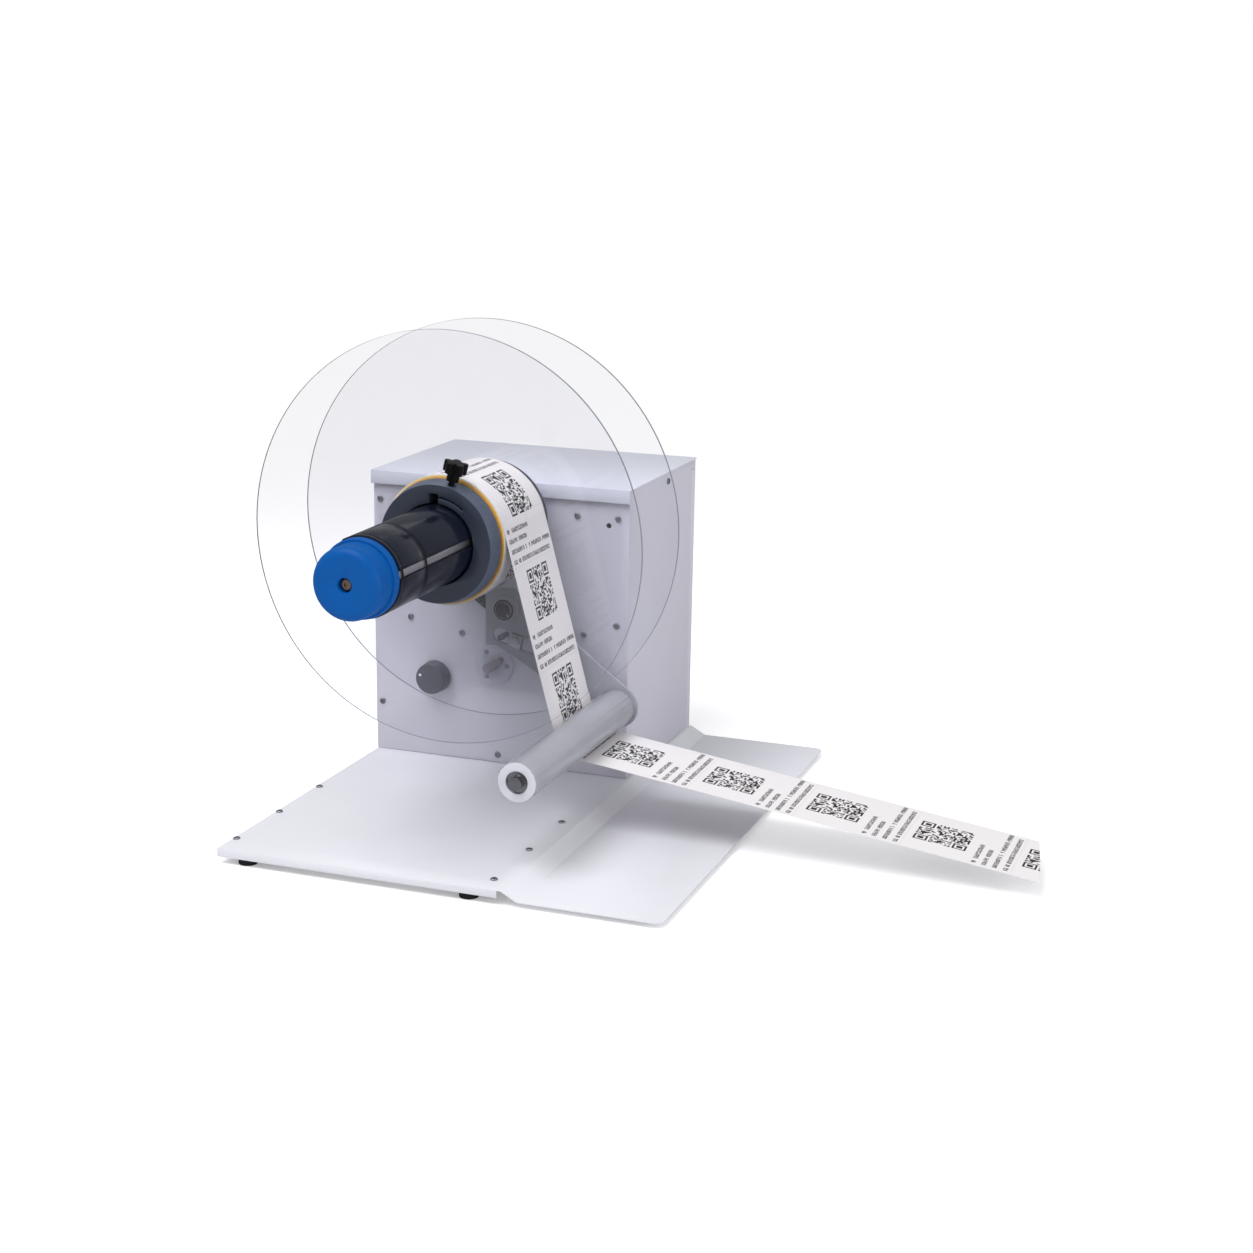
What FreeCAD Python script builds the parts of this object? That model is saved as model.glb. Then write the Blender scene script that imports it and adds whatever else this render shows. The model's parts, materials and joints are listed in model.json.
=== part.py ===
"""Table-top label rewinder with an expanding mandrel, two clear flanges and a dancer roller.

Lengths are millimetres.  Places are given from the machine's own corner: x from the left
edge of the front panel, y from the panel's front face towards the back, z from the table.
Every finished piece is then shifted, so that the part's origin lies at the middle of its
footprint on the table.
"""
import FreeCAD, Part
import math
import os
import re

import Sketcher

SIZES = {
    # Housing
    "panel_width": 280,  # front panel, edge to edge
    "panel_thickness": 2,  # front panel
    "sheet_thickness": 1.5,  # folded sheet of casing and base
    "panel_gap": 0.3,  # gap left between casing sheets that only meet
    "cover_top_z": 315,  # top of the cover above the table
    "cover_back_y": 206,  # back of the casing
    "cover_front_overhang": 4.8,  # cover lip in front of the panel
    "cover_side_overhang": 1.3,  # cover beyond each side panel
    "cover_lip_height": 14,  # front lip of the cover
    "cover_flange_height": 26,  # inner side flange of the cover
    "cover_flange_inset": 20,  # inner side flange, from the casing's front and back
    "side_flange_width": 17,  # flanges of a side panel that carry the front and rear sheets
    "side_floor_width": 30,  # flange of a side panel that stands on the base
    "seam_depth": 11,  # side flange of the rear cover
    "seam_drop": 12,  # top of the rear cover's side flange below the casing's top
    # Base
    "base_top_z": 15,  # top of the base plate
    "base_front_y": -336,  # front edge of the base plate
    "base_flat_margin": 3.4,  # flat part of the base plate beyond the panel's width
    "base_lip_depth": 8.3,  # front lip of the base plate
    "base_lip_clearance": 4,  # end of the front lip before the slope
    "slope_run": 15.4,  # slope to the web table
    "wing_drop": 8.6,  # web table below the base plate
    "wing_width": 134.4,  # web table beyond its slope
    "wing_corner_radius": 9,  # corners of the web table
    "rail_side_inset": 1.2,  # left rail from the plate's left edge
    "right_rail_inset": 7,  # right rail inside the panel's right edge
    "rail_top_width": 10.8,  # upper flange of a rail
    "rail_floor_width": 30,  # lower flange of a rail
    "rail_end_inset": 6,  # rail ends from the plate's ends
    "foot_radius": 9,  # rubber foot
    "foot_height": 6.7,  # rubber foot
    "foot_rail_offset": 15.5,  # foot centre from its rail's web
    "foot_end_inset": 12,  # foot centre from the plate's ends
    "left_screw_x": 4.5,  # left row of screws in the base plate
    "right_screw_inset": 4.9,  # right row of screws in the base plate, inside the right rail's edge
    "left_screw_y": -141.5,  # rearmost screw of the left row
    "right_screw_y": -148.7,  # rearmost screw of the right row
    "base_screw_pitch": 82.7,  # between the screws of a row
    "floor_screw_inset": 24,  # screws that hold the casing, from its sides
    "floor_screw_end": 30,  # screws that hold the casing, from its ends
    "panel_tab_width": 22,  # tab of the base plate behind the front panel
    "panel_tab_height": 17,  # tab of the base plate behind the front panel
    # Screws
    "screw_radius": 2,  # shank
    "screw_head_radius": 3.3,  # head
    "screw_head_height": 1.6,  # head
    "screw_length": 7,  # under the head
    "screw_clearance": 0.15,  # hole over shank, in radius
    "left_column_x": 7.3,  # screws into the left side panel
    "right_column_inset": 11.9,  # screws into the right side panel, from the panel's right edge
    "top_row_z": 284.6,  # upper row of panel screws
    "left_low_z": 67.7,  # lower left panel screw
    "right_low_z": 175.3,  # lower right panel screw
    "board_screw_inset": 20.3,  # upper screw of the electronics bracket, from its plate
    "board_low_inset": 12,  # lower screw of the electronics bracket, from its plate
    "board_low_z": 163,  # lower screw of the electronics bracket
    "motor_screw_x": 41,  # left screw of the motor bracket
    "motor_screw_z": 162.7,  # left screw of the motor bracket
    "motor_low_x": 98.7,  # right screw of the motor bracket
    "motor_low_z": 151.4,  # right screw of the motor bracket
    "tab_screw_x": 138,  # screw into the tab of the base plate
    "tab_screw_z": 23.8,  # screw into the tab of the base plate
    "cover_screw_y": 115,  # side screw of the cover
    "cover_screw_drop": 10.6,  # side screw of the cover below its top
    "rear_screw_drop": 40,  # upper and lower screws of the rear cover from its ends
    "spare_hole_inset": 22,  # open hole for an accessory, from the panel's right edge
    "spare_hole_z": 277,  # open hole for an accessory
    "spare_hole_radius": 2.75,  # open hole for an accessory
    # Spindle
    "spindle_x": 143.4,  # spindle axis from the panel's left edge
    "spindle_z": 280,  # spindle axis above the table
    "shaft_radius": 10,  # spindle shaft
    "shaft_shoulder_radius": 14,  # collar of the spindle shaft
    "shaft_end_y": 78,  # rear end of the spindle shaft
    "shaft_hole_radius": 16,  # hole in the front panel
    "running_clearance": 0.05,  # shaft to bearing, in radius
    "assembly_clearance": 0.2,  # between fixed pieces that slip together, in radius
    "bearing_radius": 21,  # outside of a spindle bearing
    "bearing_width": 12,  # spindle bearing
    "bearing_land": 16,  # between the two spindle bearings
    "housing_flange_radius": 32.5,  # flange of the spindle housing
    "housing_flange_thickness": 6,  # flange of the spindle housing
    "housing_barrel_radius": 26,  # barrel of the spindle housing
    "bearing_lip": 1.5,  # lip in front of the first bearing
    "bearing_lip_radius": 17,  # opening of that lip
    "housing_rear_margin": 2,  # housing behind the second bearing
    "pulley_y": 58,  # front of the belt's run
    "belt_width": 10,  # drive belt
    "belt_thickness": 2.5,  # drive belt
    "belt_gap": 0.3,  # drive belt off its pulleys
    "pulley_rim": 2,  # rim beside the belt
    "pulley_rim_height": 3.2,  # rim over the belt's seat
    "spindle_pulley_radius": 27,  # belt seat on the spindle
    "motor_pulley_radius": 13.5,  # belt seat on the motor
    "pulley_hub_radius": 14,  # hub of the spindle pulley
    # Mandrel
    "mandrel_front_y": -316,  # free end of the mandrel
    "core_tube_radius": 32.4,  # core tube, outside
    "core_tube_wall": 5,  # core tube
    "core_end_thickness": 14,  # end walls of the core
    "bar_width": 6.2,  # bright bar between two shells
    "bar_radius": 35.6,  # top of a bright bar
    "bar_angle": 8.5,  # first bar above the horizontal
    "shell_gap": 8.6,  # between two shells
    "shell_inner_radius": 33.5,  # shell, inside
    "shell_radius": 37.8,  # shell, outside, as expanded
    "shell_end_gap": 0.4,  # shell ends off the hub and the knob
    "ring_wire_radius": 0.85,  # rubber ring round the shells
    "ring_groove_radius": 35.9,  # floor of the ring's groove
    "ring_groove_margin": 0.15,  # groove beside the ring
    "first_ring_offset": 5,  # first ring from the shells' front end
    "second_ring_offset": 54,  # second ring from the shells' front end
    "knob_gap": 0.8,  # knob off the mandrel's end
    "knob_rim_radius": 36.5,  # rim of the knob
    "knob_rim_width": 9,  # rim of the knob
    "knob_radius": 33.4,  # body of the knob
    "knob_length": 35.2,  # whole knob
    "knob_edge_radius": 8,  # rounding of the knob's face
    "knob_rim_rounding": 1.5,  # rounding of the knob's rim
    "journal_radius": 5,  # end of the shaft that carries the knob
    "knob_recess_radius": 6.8,  # recess in the knob's face
    "knob_recess_depth": 9,  # recess in the knob's face
    "knob_washer_radius": 6.4,  # washer under the knob's screw
    "knob_screw_head_radius": 4.6,  # head of the knob's screw
    "knob_screw_head_height": 4.4,  # head of the knob's screw
    "knob_screw_socket": 2.4,  # socket of that screw, centre to corner
    "knob_screw_depth": 12,  # screw in the shaft's end
    # Flanges and roll
    "flange_radius": 200,  # clear flange discs
    "disc_thickness": 3,  # clear flange discs
    "rear_disc_y": -40,  # inner face of the rear disc
    "label_width": 102,  # label web and its roll
    "label_side_gap": 0.7,  # roll off each disc
    "core_wall": 4,  # card core of the roll
    "core_clearance": 0.3,  # card core over the shells, in radius
    "roll_radius": 62.7,  # wound roll
    "rear_hub_radius": 60,  # hub behind the rear disc
    "rear_hub_thickness": 11,  # hub behind the rear disc
    "rear_spigot_radius": 36,  # spigot that centres the rear disc
    "hub_radius": 60,  # front hub at its disc
    "hub_face_radius": 57,  # front hub at its face
    "hub_taper_depth": 4.1,  # straight part of the front hub
    "hub_depth": 19.6,  # front hub, disc to face
    "hub_bore_radius": 39.5,  # bore of the front hub
    "hub_spigot_radius": 44,  # spigot that carries the front disc
    "hub_land_radius": 38.1,  # land that runs on the shells
    "hub_land_width": 3,  # land that runs on the shells
    "notch_left": 5.4,  # notch left of the axis
    "notch_right": 3.8,  # notch right of the axis
    "notch_radius": 48.6,  # top of the notch
    "jaw_slot_radius": 45.5,  # slot that frees the clamping jaw
    "jaw_slot_width": 1.5,  # slot that frees the clamping jaw
    "jaw_start_angle": 50,  # end of that slot
    "jaw_end_angle": 91,  # start of that slot, at the notch
    "thumb_angle": 76,  # clamp screw above the horizontal
    "thumb_inset": 7.4,  # clamp screw behind the hub's face
    "thumb_thread_radius": 3,  # clamp screw thread
    "thumb_collar_radius": 6,  # collar under the clamp screw's head
    "thumb_bare_thread": 2.5,  # thread seen between the hub and the collar
    "thumb_collar_height": 8,  # collar under the clamp screw's head
    "thumb_head_radius": 7.6,  # body of the clamp screw's head
    "thumb_head_height": 10.5,  # clamp screw's head
    "thumb_lobe_radius": 3.6,  # lobes of the clamp screw's head
    "thumb_lobe_circle": 8.2,  # circle on which the lobes lie
    # Drive
    "motor_x": 70,  # motor axis
    "motor_z": 125,  # motor axis
    "gearbox_size": 50,  # square gearbox
    "gearbox_length": 38,  # square gearbox
    "gearbox_front_y": 87,  # gearbox face on its bracket
    "motor_can_radius": 21,  # motor
    "motor_can_length": 58,  # motor
    "motor_shaft_radius": 4,  # output shaft
    "motor_shaft_seat": 16,  # output shaft inside the gearbox
    "motor_boss_radius": 11,  # round boss of the gearbox
    "bracket_thickness": 2,  # motor bracket
    "bracket_left_x": 28,  # motor bracket
    "bracket_right_x": 110,  # panel flange of the motor bracket
    "bracket_flange_z": 138,  # panel flange of the motor bracket
    "bracket_top_z": 180,  # motor bracket
    "bracket_bottom_z": 96,  # mounting plate of the motor bracket
    "bracket_plate_width": 72,  # mounting plate of the motor bracket
    # Electronics
    "board_flange_width": 33,  # panel flange of the electronics bracket
    "board_bracket_inset": 35,  # plate of the electronics bracket, from the panel's right edge
    "board_bracket_bottom_z": 152,  # electronics bracket
    "board_bracket_top_z": 296,  # electronics bracket
    "board_bracket_depth": 150,  # electronics bracket
    "board_thickness": 1.6,  # circuit board
    "board_standoff": 5,  # circuit board off its bracket
    "board_margin": 12,  # circuit board inside its bracket's edges
    "board_part_height": 14,  # tallest piece on the circuit board
    "supply_inset": 43,  # power supply, from the panel's right edge
    "supply_width": 97,  # power supply
    "supply_y": 50,  # power supply
    "supply_length": 129,  # power supply
    "supply_height": 30,  # power supply
    "supply_terminal_depth": 12,  # terminal block of the power supply
    "inlet_x": 60,  # middle of the mains inlet
    "inlet_z": 61,  # middle of the mains inlet
    "inlet_width": 60,  # flange of the mains inlet
    "inlet_height": 32,  # flange of the mains inlet
    "inlet_flange_thickness": 2.5,  # flange of the mains inlet
    "inlet_body_width": 48,  # body of the mains inlet
    "inlet_body_height": 26,  # body of the mains inlet
    "inlet_depth": 24,  # body of the mains inlet
    "socket_width": 24.6,  # socket opening
    "socket_height": 16.6,  # socket opening
    "socket_depth": 17,  # socket opening
    "socket_offset": 9,  # socket opening from the inlet's middle
    "blade_length": 14,  # contact blade
    "blade_width": 4,  # contact blade
    "blade_thickness": 2,  # contact blade
    "blade_pitch": 7,  # contact blade from the earth blade
    "blade_drop": 2,  # line blades from the socket's middle
    "rocker_width": 12,  # mains rocker
    "rocker_height": 19,  # mains rocker
    "rocker_depth": 9,  # mains rocker behind the flange
    "rocker_rise": 2.4,  # mains rocker proud of the flange
    "rocker_offset": 13.5,  # mains rocker from the inlet's middle
    "rocker_clearance": 1,  # round the mains rocker
    "rocker_pin_radius": 1,  # pivot pin of the mains rocker
    "rocker_pin_depth": 2.5,  # that pin behind the face of the flange
    "rocker_pin_bite": 1,  # that pin in the walls of the inlet
    "vent_width": 3,  # vent slot
    "vent_height": 34,  # vent slot
    "vent_pitch": 9,  # between vent slots
    "vent_z": 236,  # middle of the vent slots
    "vent_x": 86,  # first vent slot
    # Dancer
    "pivot_x": 157.5,  # dancer pivot
    "pivot_z": 187.7,  # dancer pivot
    "arm_length": 150,  # pivot to roller
    "arm_droop": 36.5,  # roller below the horizontal, seen from the pivot
    "arm_y": -25,  # front face of the arm plate
    "arm_thickness": 3,  # arm plate
    "arm_end_radius": 21.5,  # round end of the arm plate
    "arm_left": 21.7,  # arm plate left of the pivot
    "arm_low": 39.4,  # arm plate below the pivot at its left edge
    "arm_low_inner": 9.5,  # end of that lower edge, left of the pivot
    "arm_knee_x": 5.8,  # knee of the lower edge, right of the pivot
    "arm_knee_drop": 46,  # knee of the lower edge, below the pivot
    "arm_high": 22,  # arm plate above the pivot
    "arm_high_left": 12,  # upper edge, left of the pivot
    "arm_high_right": 10,  # upper edge, right of the pivot
    "arm_left_high": 14,  # left edge, above the pivot
    "slot_start_x": -6.3,  # slot of the stop, near end, from the pivot
    "slot_start_z": -27.5,  # slot of the stop, near end, from the pivot
    "slot_end_x": 37.5,  # slot of the stop, far end, from the pivot
    "slot_end_z": -37.9,  # slot of the stop, far end, from the pivot
    "slot_half_width": 7.2,  # slot of the stop
    "pivot_boss_radius": 14.5,  # boss of the arm
    "pivot_boss_height": 4,  # boss of the arm in front of its plate
    "pivot_boss_back": 3,  # boss of the arm behind its plate
    "pivot_shaft_radius": 4,  # dancer shaft
    "pivot_barrel_radius": 13.5,  # housing of the dancer bearings
    "pivot_barrel_length": 17,  # housing of the dancer bearings
    "pivot_bearing_radius": 11,  # dancer bearing, outside
    "pivot_bearing_width": 7,  # dancer bearing
    "pivot_bearing_gap": 1.5,  # between the dancer bearings
    "pivot_cap_radius": 10.6,  # black cap ring on the pivot
    "pivot_washer_radius": 8.5,  # washer on the pivot
    "pivot_head_radius": 5.2,  # screw head on the pivot
    "pivot_cap_height": 1,  # each step of the pivot's cap
    "sensor_size": 24,  # angle sensor
    "sensor_depth": 16,  # angle sensor
    "sensor_shaft_depth": 12,  # dancer shaft inside the sensor
    "spring_pin_x": -18.4,  # spring pin of the arm, from the pivot
    "spring_pin_z": -4.3,  # spring pin of the arm, from the pivot
    "spring_pin_radius": 2,  # spring pins
    "spring_y": -10,  # spring off the panel
    "spring_post_x": 77.8,  # fixed end of the spring
    "spring_post_z": 228.4,  # fixed end of the spring
    "spring_post_length": 16,  # fixed spring post
    "spring_radius": 6,  # middle of the spring's wire
    "spring_wire_radius": 0.8,  # spring wire
    "spring_turns": 32,  # turns of the spring
    "spring_loop_angle": 150,  # open loop at each end of the spring
    "spring_bend_swell": 0.2,  # bend between coil and loop, over the wire's radius
    "spring_pin_gap": 0.15,  # hook off its pin
    "stop_reach": 18.6,  # stop, from the near end of its slot
    "stop_block_size": 13.4,  # square of the stop
    "stop_block_rise": 3,  # stop in front of the arm plate
    "stop_nut_radius": 4.8,  # nut of the stop
    "stop_nut_height": 2.5,  # nut of the stop
    "stop_flange_radius": 9.5,  # flange of the stop behind the arm plate
    "stop_flange_height": 2,  # flange of the stop behind the arm plate
    "stop_pin_radius": 3,  # pin of the stop
    "stop_pin_end_y": -10,  # rear end of the stop's pin
    "post_radius": 3,  # limit posts
    "post_length": 18,  # limit posts
    "post_clearance": 0.3,  # stop off a limit post at the end of travel
    "lift_angle": 6,  # dancer travel up
    "drop_angle": 25,  # dancer travel down
    "roller_radius": 19,  # guide roller
    "roller_bore_radius": 10.6,  # bearing seat of the guide roller
    "roller_front_y": -286.8,  # front end of the guide roller
    "roller_back_gap": 3.4,  # guide roller off the arm plate
    "roller_shaft_radius": 6,  # shaft of the guide roller
    "roller_shaft_front_y": -292,  # front end of that shaft
    "roller_collar_radius": 9,  # collar and nut of that shaft
    "roller_collar_width": 3,  # collar of that shaft
    "roller_nut_width": 5,  # nut of that shaft
    "roller_thread_radius": 5,  # thread of that shaft
    "roller_bearing_width": 6,  # roller bearing
    "roller_bearing_inset": 2.8,  # roller bearing inside the roller's end
    "clip_width": 1,  # clip on the roller shaft
    "clip_radius": 8.6,  # clip on the roller shaft
    "clip_groove_radius": 5.1,  # groove under that clip
    "clip_mouth": 4,  # open side of that clip
    "roller_edge_rounding": 1.2,  # ends of the guide roller
    # Controls
    "speed_x": 69.4,  # speed knob
    "speed_z": 102.3,  # speed knob
    "speed_knob_radius": 17,  # speed knob
    "speed_knob_depth": 15.5,  # speed knob
    "speed_knob_taper": 1,  # speed knob narrower at its face
    "control_gap": 0.8,  # knobs off what lies behind them
    "control_shaft_radius": 3,  # shafts of both controls
    "control_shaft_depth": 10,  # shafts inside the controls
    "control_bush_radius": 4.6,  # threaded bush of the speed control
    "pot_radius": 12,  # speed control behind the panel
    "pot_depth": 14,  # speed control behind the panel
    "selector_x": 135.6,  # mode selector
    "selector_z": 121.7,  # mode selector
    "selector_plate_radius": 20.7,  # plate of the mode selector
    "selector_plate_thickness": 4,  # plate of the mode selector
    "selector_screw_circle": 15,  # screws of that plate
    "selector_screw_radius": 1.5,  # screws of that plate
    "selector_screw_head": 2.4,  # screws of that plate
    "selector_head_height": 1.1,  # screws of that plate
    "selector_screw_depth": 9,  # screws of that plate
    "selector_body_size": 28,  # switch behind the panel
    "selector_body_depth": 26,  # switch behind the panel
    "selector_angle": 36.5,  # pointer above the horizontal
    "selector_tail": 4.5,  # tail of the pointer
    "selector_reach": 11.5,  # tip of the pointer
    "selector_tail_radius": 5,  # tail of the pointer
    "selector_tip_radius": 3.2,  # tip of the pointer
    "selector_knob_height": 9,  # pointer off the plate
    # Web
    "web_thickness": 0.3,  # labels on their liner
    "web_gap": 0.2,  # web off the roll and the roller
    "web_fall": 7.8,  # fall of the web beyond the roller
    "web_front_end_x": 724.7,  # cut end of the web at its front edge
    "web_rear_end_x": 707.7,  # cut end of the web at its rear edge
}

doc = FreeCAD.newDocument("LabelRewinder")
sheet = doc.addObject("Spreadsheet::Sheet", "Sizes")
PLACES = {}
NODES = []

# Places that several pieces share.
BASE_UNDER = "base_top_z - sheet_thickness"
CASE_BOTTOM = "base_top_z + panel_gap"
CASE_TOP = "cover_top_z - sheet_thickness - panel_gap"
RIGHT_INSIDE = "panel_width - sheet_thickness"
RIGHT_COLUMN = "panel_width - right_column_inset"
BASE_FLAT = "panel_width + base_flat_margin"
SLOPE_END = BASE_FLAT + " + slope_run"
WING_END = SLOPE_END + " + wing_width"
RIGHT_RAIL = "panel_width - right_rail_inset"
BOARD_PLATE = "panel_width - board_bracket_inset"
SEAM_Y = "cover_back_y - seam_depth"
SEAM_Z = "cover_top_z - seam_drop"
REAR_SHEET_Y = "cover_back_y - sheet_thickness"
RAIL_BOTTOM = "foot_height"
LEFT_FOOT_X = "rail_side_inset + rail_top_width - sheet_thickness + foot_rail_offset"
RIGHT_FOOT_X = RIGHT_RAIL + " - rail_top_width + sheet_thickness - foot_rail_offset"
ROLL_BACK = "rear_disc_y - label_side_gap"
ROLL_FRONT = "rear_disc_y - label_side_gap - label_width"
DISC_BACK = "rear_disc_y - 2 * label_side_gap - label_width"
DISC_FRONT = "rear_disc_y - 2 * label_side_gap - label_width - disc_thickness"
HUB_FACE = DISC_FRONT + " - hub_depth"
REAR_HUB_FRONT = "rear_disc_y + disc_thickness"
REAR_HUB_BACK = "rear_disc_y + disc_thickness + rear_hub_thickness"
MANDREL_BACK = "rear_disc_y - disc_thickness / 3"
SHELL_FRONT = "mandrel_front_y - shell_end_gap"
SHELL_BACK = MANDREL_BACK + " - shell_end_gap"
KNOB_BACK = "mandrel_front_y - knob_gap"
KNOB_FACE = KNOB_BACK + " - knob_length"
KNOB_FLOOR = KNOB_FACE + " + knob_recess_depth"
BEARING_FRONT = "panel_thickness + bearing_lip"
SECOND_BEARING = BEARING_FRONT + " + bearing_width + bearing_land"
HOUSING_BACK = SECOND_BEARING + " + bearing_width + housing_rear_margin"
ARM_BACK = "arm_y + arm_thickness"
ROLLER_X = "pivot_x + arm_length * cos(arm_droop * 1deg)"
ROLLER_Z = "pivot_z - arm_length * sin(arm_droop * 1deg)"
ROLLER_BACK = "arm_y - roller_back_gap"
SPINDLE = ("spindle_x", "spindle_z")
PIVOT = ("pivot_x", "pivot_z")
ROLLER = (ROLLER_X, ROLLER_Z)
MOTOR = ("motor_x", "motor_z")

# The part's origin, at the middle of its footprint.
ORIGIN_X = "(spindle_x - flange_radius + web_front_end_x) / 2"
ORIGIN_Y = "(" + KNOB_FACE + " + cover_back_y + inlet_flange_thickness + rocker_rise) / 2"

PANEL_SCREWS = [
    ("left_column_x", "top_row_z"),
    ("left_column_x", "left_low_z"),
    (RIGHT_COLUMN, "top_row_z"),
    (RIGHT_COLUMN, "right_low_z"),
    (BOARD_PLATE + " - board_screw_inset", "top_row_z"),
    (BOARD_PLATE + " - board_low_inset", "board_low_z"),
    ("motor_screw_x", "motor_screw_z"),
    ("motor_low_x", "motor_low_z"),
    ("tab_screw_x", "tab_screw_z"),
]


def fill_sheet():
    """Write every driving dimension into the sheet, with its name beside it."""
    for line, (name, value) in enumerate(SIZES.items(), 1):
        sheet.set("A%d" % line, name)
        sheet.set("B%d" % line, str(value))
        sheet.setAlias("B%d" % line, name)
    doc.recompute()


def expr(text):
    """Return an expression with every size named as a cell of the sheet."""
    return re.sub(r"[a-z][a-z0-9_]*", lambda word: "Sizes." + word.group(0)
                  if word.group(0) in SIZES else word.group(0), str(text))


def span(ends):
    """Length between two ends."""
    return "(%s) - (%s)" % (ends[1], ends[0])


def polar(centre, radius, angle, side=0):
    """Point at a radius and angle from a centre in the XZ plane, stepped sideways by side."""
    x = "%s + (%s) * cos((%s) * 1deg) - (%s) * sin((%s) * 1deg)" % (centre[0], radius, angle, side, angle)
    z = "%s + (%s) * sin((%s) * 1deg) + (%s) * cos((%s) * 1deg)" % (centre[1], radius, angle, side, angle)
    return x, z


def place(item, x=0, y=0, z=0):
    """Bind where an item stands."""
    PLACES[item.Name] = (x, y, z)
    for key, text in zip("xyz", (x, y, z)):
        item.setExpression("Placement.Base." + key, expr(text))
    return item


def node(item, label):
    """Name a finished piece and shift it from the machine's corner to the part's origin."""
    item.Label = label
    x, y, z = PLACES.get(item.Name, (0, 0, 0))
    item.setExpression("Placement.Base.x", expr("(%s) - %s" % (x, ORIGIN_X)))
    item.setExpression("Placement.Base.y", expr("(%s) - %s" % (y, ORIGIN_Y)))
    item.setExpression("Placement.Base.z", expr(z))
    NODES.append(item)
    return item


def box(name, x, y, z):
    """Box between two ends in each direction."""
    item = doc.addObject("Part::Box", name)
    for side, ends in zip(("Length", "Width", "Height"), (x, y, z)):
        item.setExpression(side, expr(span(ends)))
    return place(item, x[0], y[0], z[0])


def block(name, centre, width, height, y):
    """Box centred on a point of the XZ plane."""
    x = ("%s - (%s) / 2" % (centre[0], width), "%s + (%s) / 2" % (centre[0], width))
    z = ("%s - (%s) / 2" % (centre[1], height), "%s + (%s) / 2" % (centre[1], height))
    return box(name, x, y, z)


def rod(name, radius, centre, y):
    """Cylinder along y between two ends, about a point of the XZ plane."""
    item = doc.addObject("Part::Cylinder", name)
    item.Placement.Rotation = FreeCAD.Rotation(FreeCAD.Vector(1, 0, 0), -90)
    item.setExpression("Radius", expr(radius))
    item.setExpression("Height", expr(span(y)))
    return place(item, centre[0], y[0], centre[1])


def rod_x(name, radius, x, y, z):
    """Cylinder along x between two ends."""
    item = doc.addObject("Part::Cylinder", name)
    item.Placement.Rotation = FreeCAD.Rotation(FreeCAD.Vector(0, 1, 0), 90)
    item.setExpression("Radius", expr(radius))
    item.setExpression("Height", expr(span(x)))
    return place(item, x[0], y, z)


def rod_z(name, radius, x, y, z):
    """Cylinder along z between two ends."""
    item = doc.addObject("Part::Cylinder", name)
    item.setExpression("Radius", expr(radius))
    item.setExpression("Height", expr(span(z)))
    return place(item, x, y, z[0])


def spoke(name, radius, centre, angle, reach, y):
    """Cylinder that points out from a centre at an angle in the XZ plane, between two radii."""
    item = doc.addObject("Part::Cylinder", name)
    item.Placement.Rotation = FreeCAD.Rotation(FreeCAD.Vector(0, 1, 0), 45)
    item.setExpression("Placement.Rotation.Angle", expr("(90 - (%s)) * 1deg" % angle))
    item.setExpression("Radius", expr(radius))
    item.setExpression("Height", expr(span(reach)))
    x, z = polar(centre, reach[0], angle)
    return place(item, x, y, z)


def fuse(name, *items):
    """Join items, or group them where they stand apart."""
    item = doc.addObject("Part::MultiFuse", name)
    item.Shapes = list(items)
    item.Refine = True
    return item


def cut(name, base, *tools):
    """Take tools away from a base."""
    item = doc.addObject("Part::Cut", name)
    item.Base = base
    item.Tool = tools[0] if len(tools) == 1 else fuse(name + "Tools", *tools)
    item.Refine = True
    return item


def common(name, base, tool):
    """Keep what two items share."""
    item = doc.addObject("Part::Common", name)
    item.Base = base
    item.Tool = tool
    return item


def outline(body, plane, points):
    """Draw a closed outline on one of a body's own planes and bind every corner to the sheet."""
    sketch = body.newObject("Sketcher::SketchObject", body.Name + "Outline")
    base = [item for item in body.Origin.OriginFeatures if item.Role == plane][0]
    sketch.AttachmentSupport = [(base, "")]
    sketch.MapMode = "FlatFace"
    count = len(points)
    ring = [FreeCAD.Vector(math.cos(math.tau * i / count), math.sin(math.tau * i / count), 0) * 50
            for i in range(count)]
    for i in range(count):
        sketch.addGeometry(Part.LineSegment(ring[i], ring[(i + 1) % count]), False)
    for i in range(count):
        sketch.addConstraint(Sketcher.Constraint("Coincident", i, 2, (i + 1) % count, 1))
    for i, corner in enumerate(points):
        for kind, text, start in zip(("DistanceX", "DistanceY"), corner, (ring[i].x, ring[i].y)):
            index = sketch.addConstraint(Sketcher.Constraint(kind, -1, 1, i, 1, start))
            sketch.setExpression("Constraints[%d]" % index, expr(text))
    return sketch


def slab(name, points, y):
    """Body with an outline in the XZ plane, between two ends in y."""
    body = doc.addObject("PartDesign::Body", name)
    sketch = outline(body, "XZ_Plane", points)
    sketch.setExpression("AttachmentOffset.Base.z", expr("-(%s)" % y[1]))
    pad = body.newObject("PartDesign::Pad", name + "Pad")
    pad.Profile = sketch
    pad.setExpression("Length", expr(span(y)))
    return body


def turned(name, points, centre):
    """Body turned about an axis along y, with an outline of radius and y."""
    body = doc.addObject("PartDesign::Body", name)
    sketch = outline(body, "XY_Plane", points)
    turn = body.newObject("PartDesign::Revolution", name + "Turn")
    turn.Profile = sketch
    turn.ReferenceAxis = (sketch, ["V_Axis"])
    turn.Angle = 360
    return place(body, centre[0], 0, centre[1])


def ring(name, inner, outer, centre, y):
    """Ring along y."""
    return turned(name, [(inner, y[0]), (outer, y[0]), (outer, y[1]), (inner, y[1])], centre)


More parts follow.
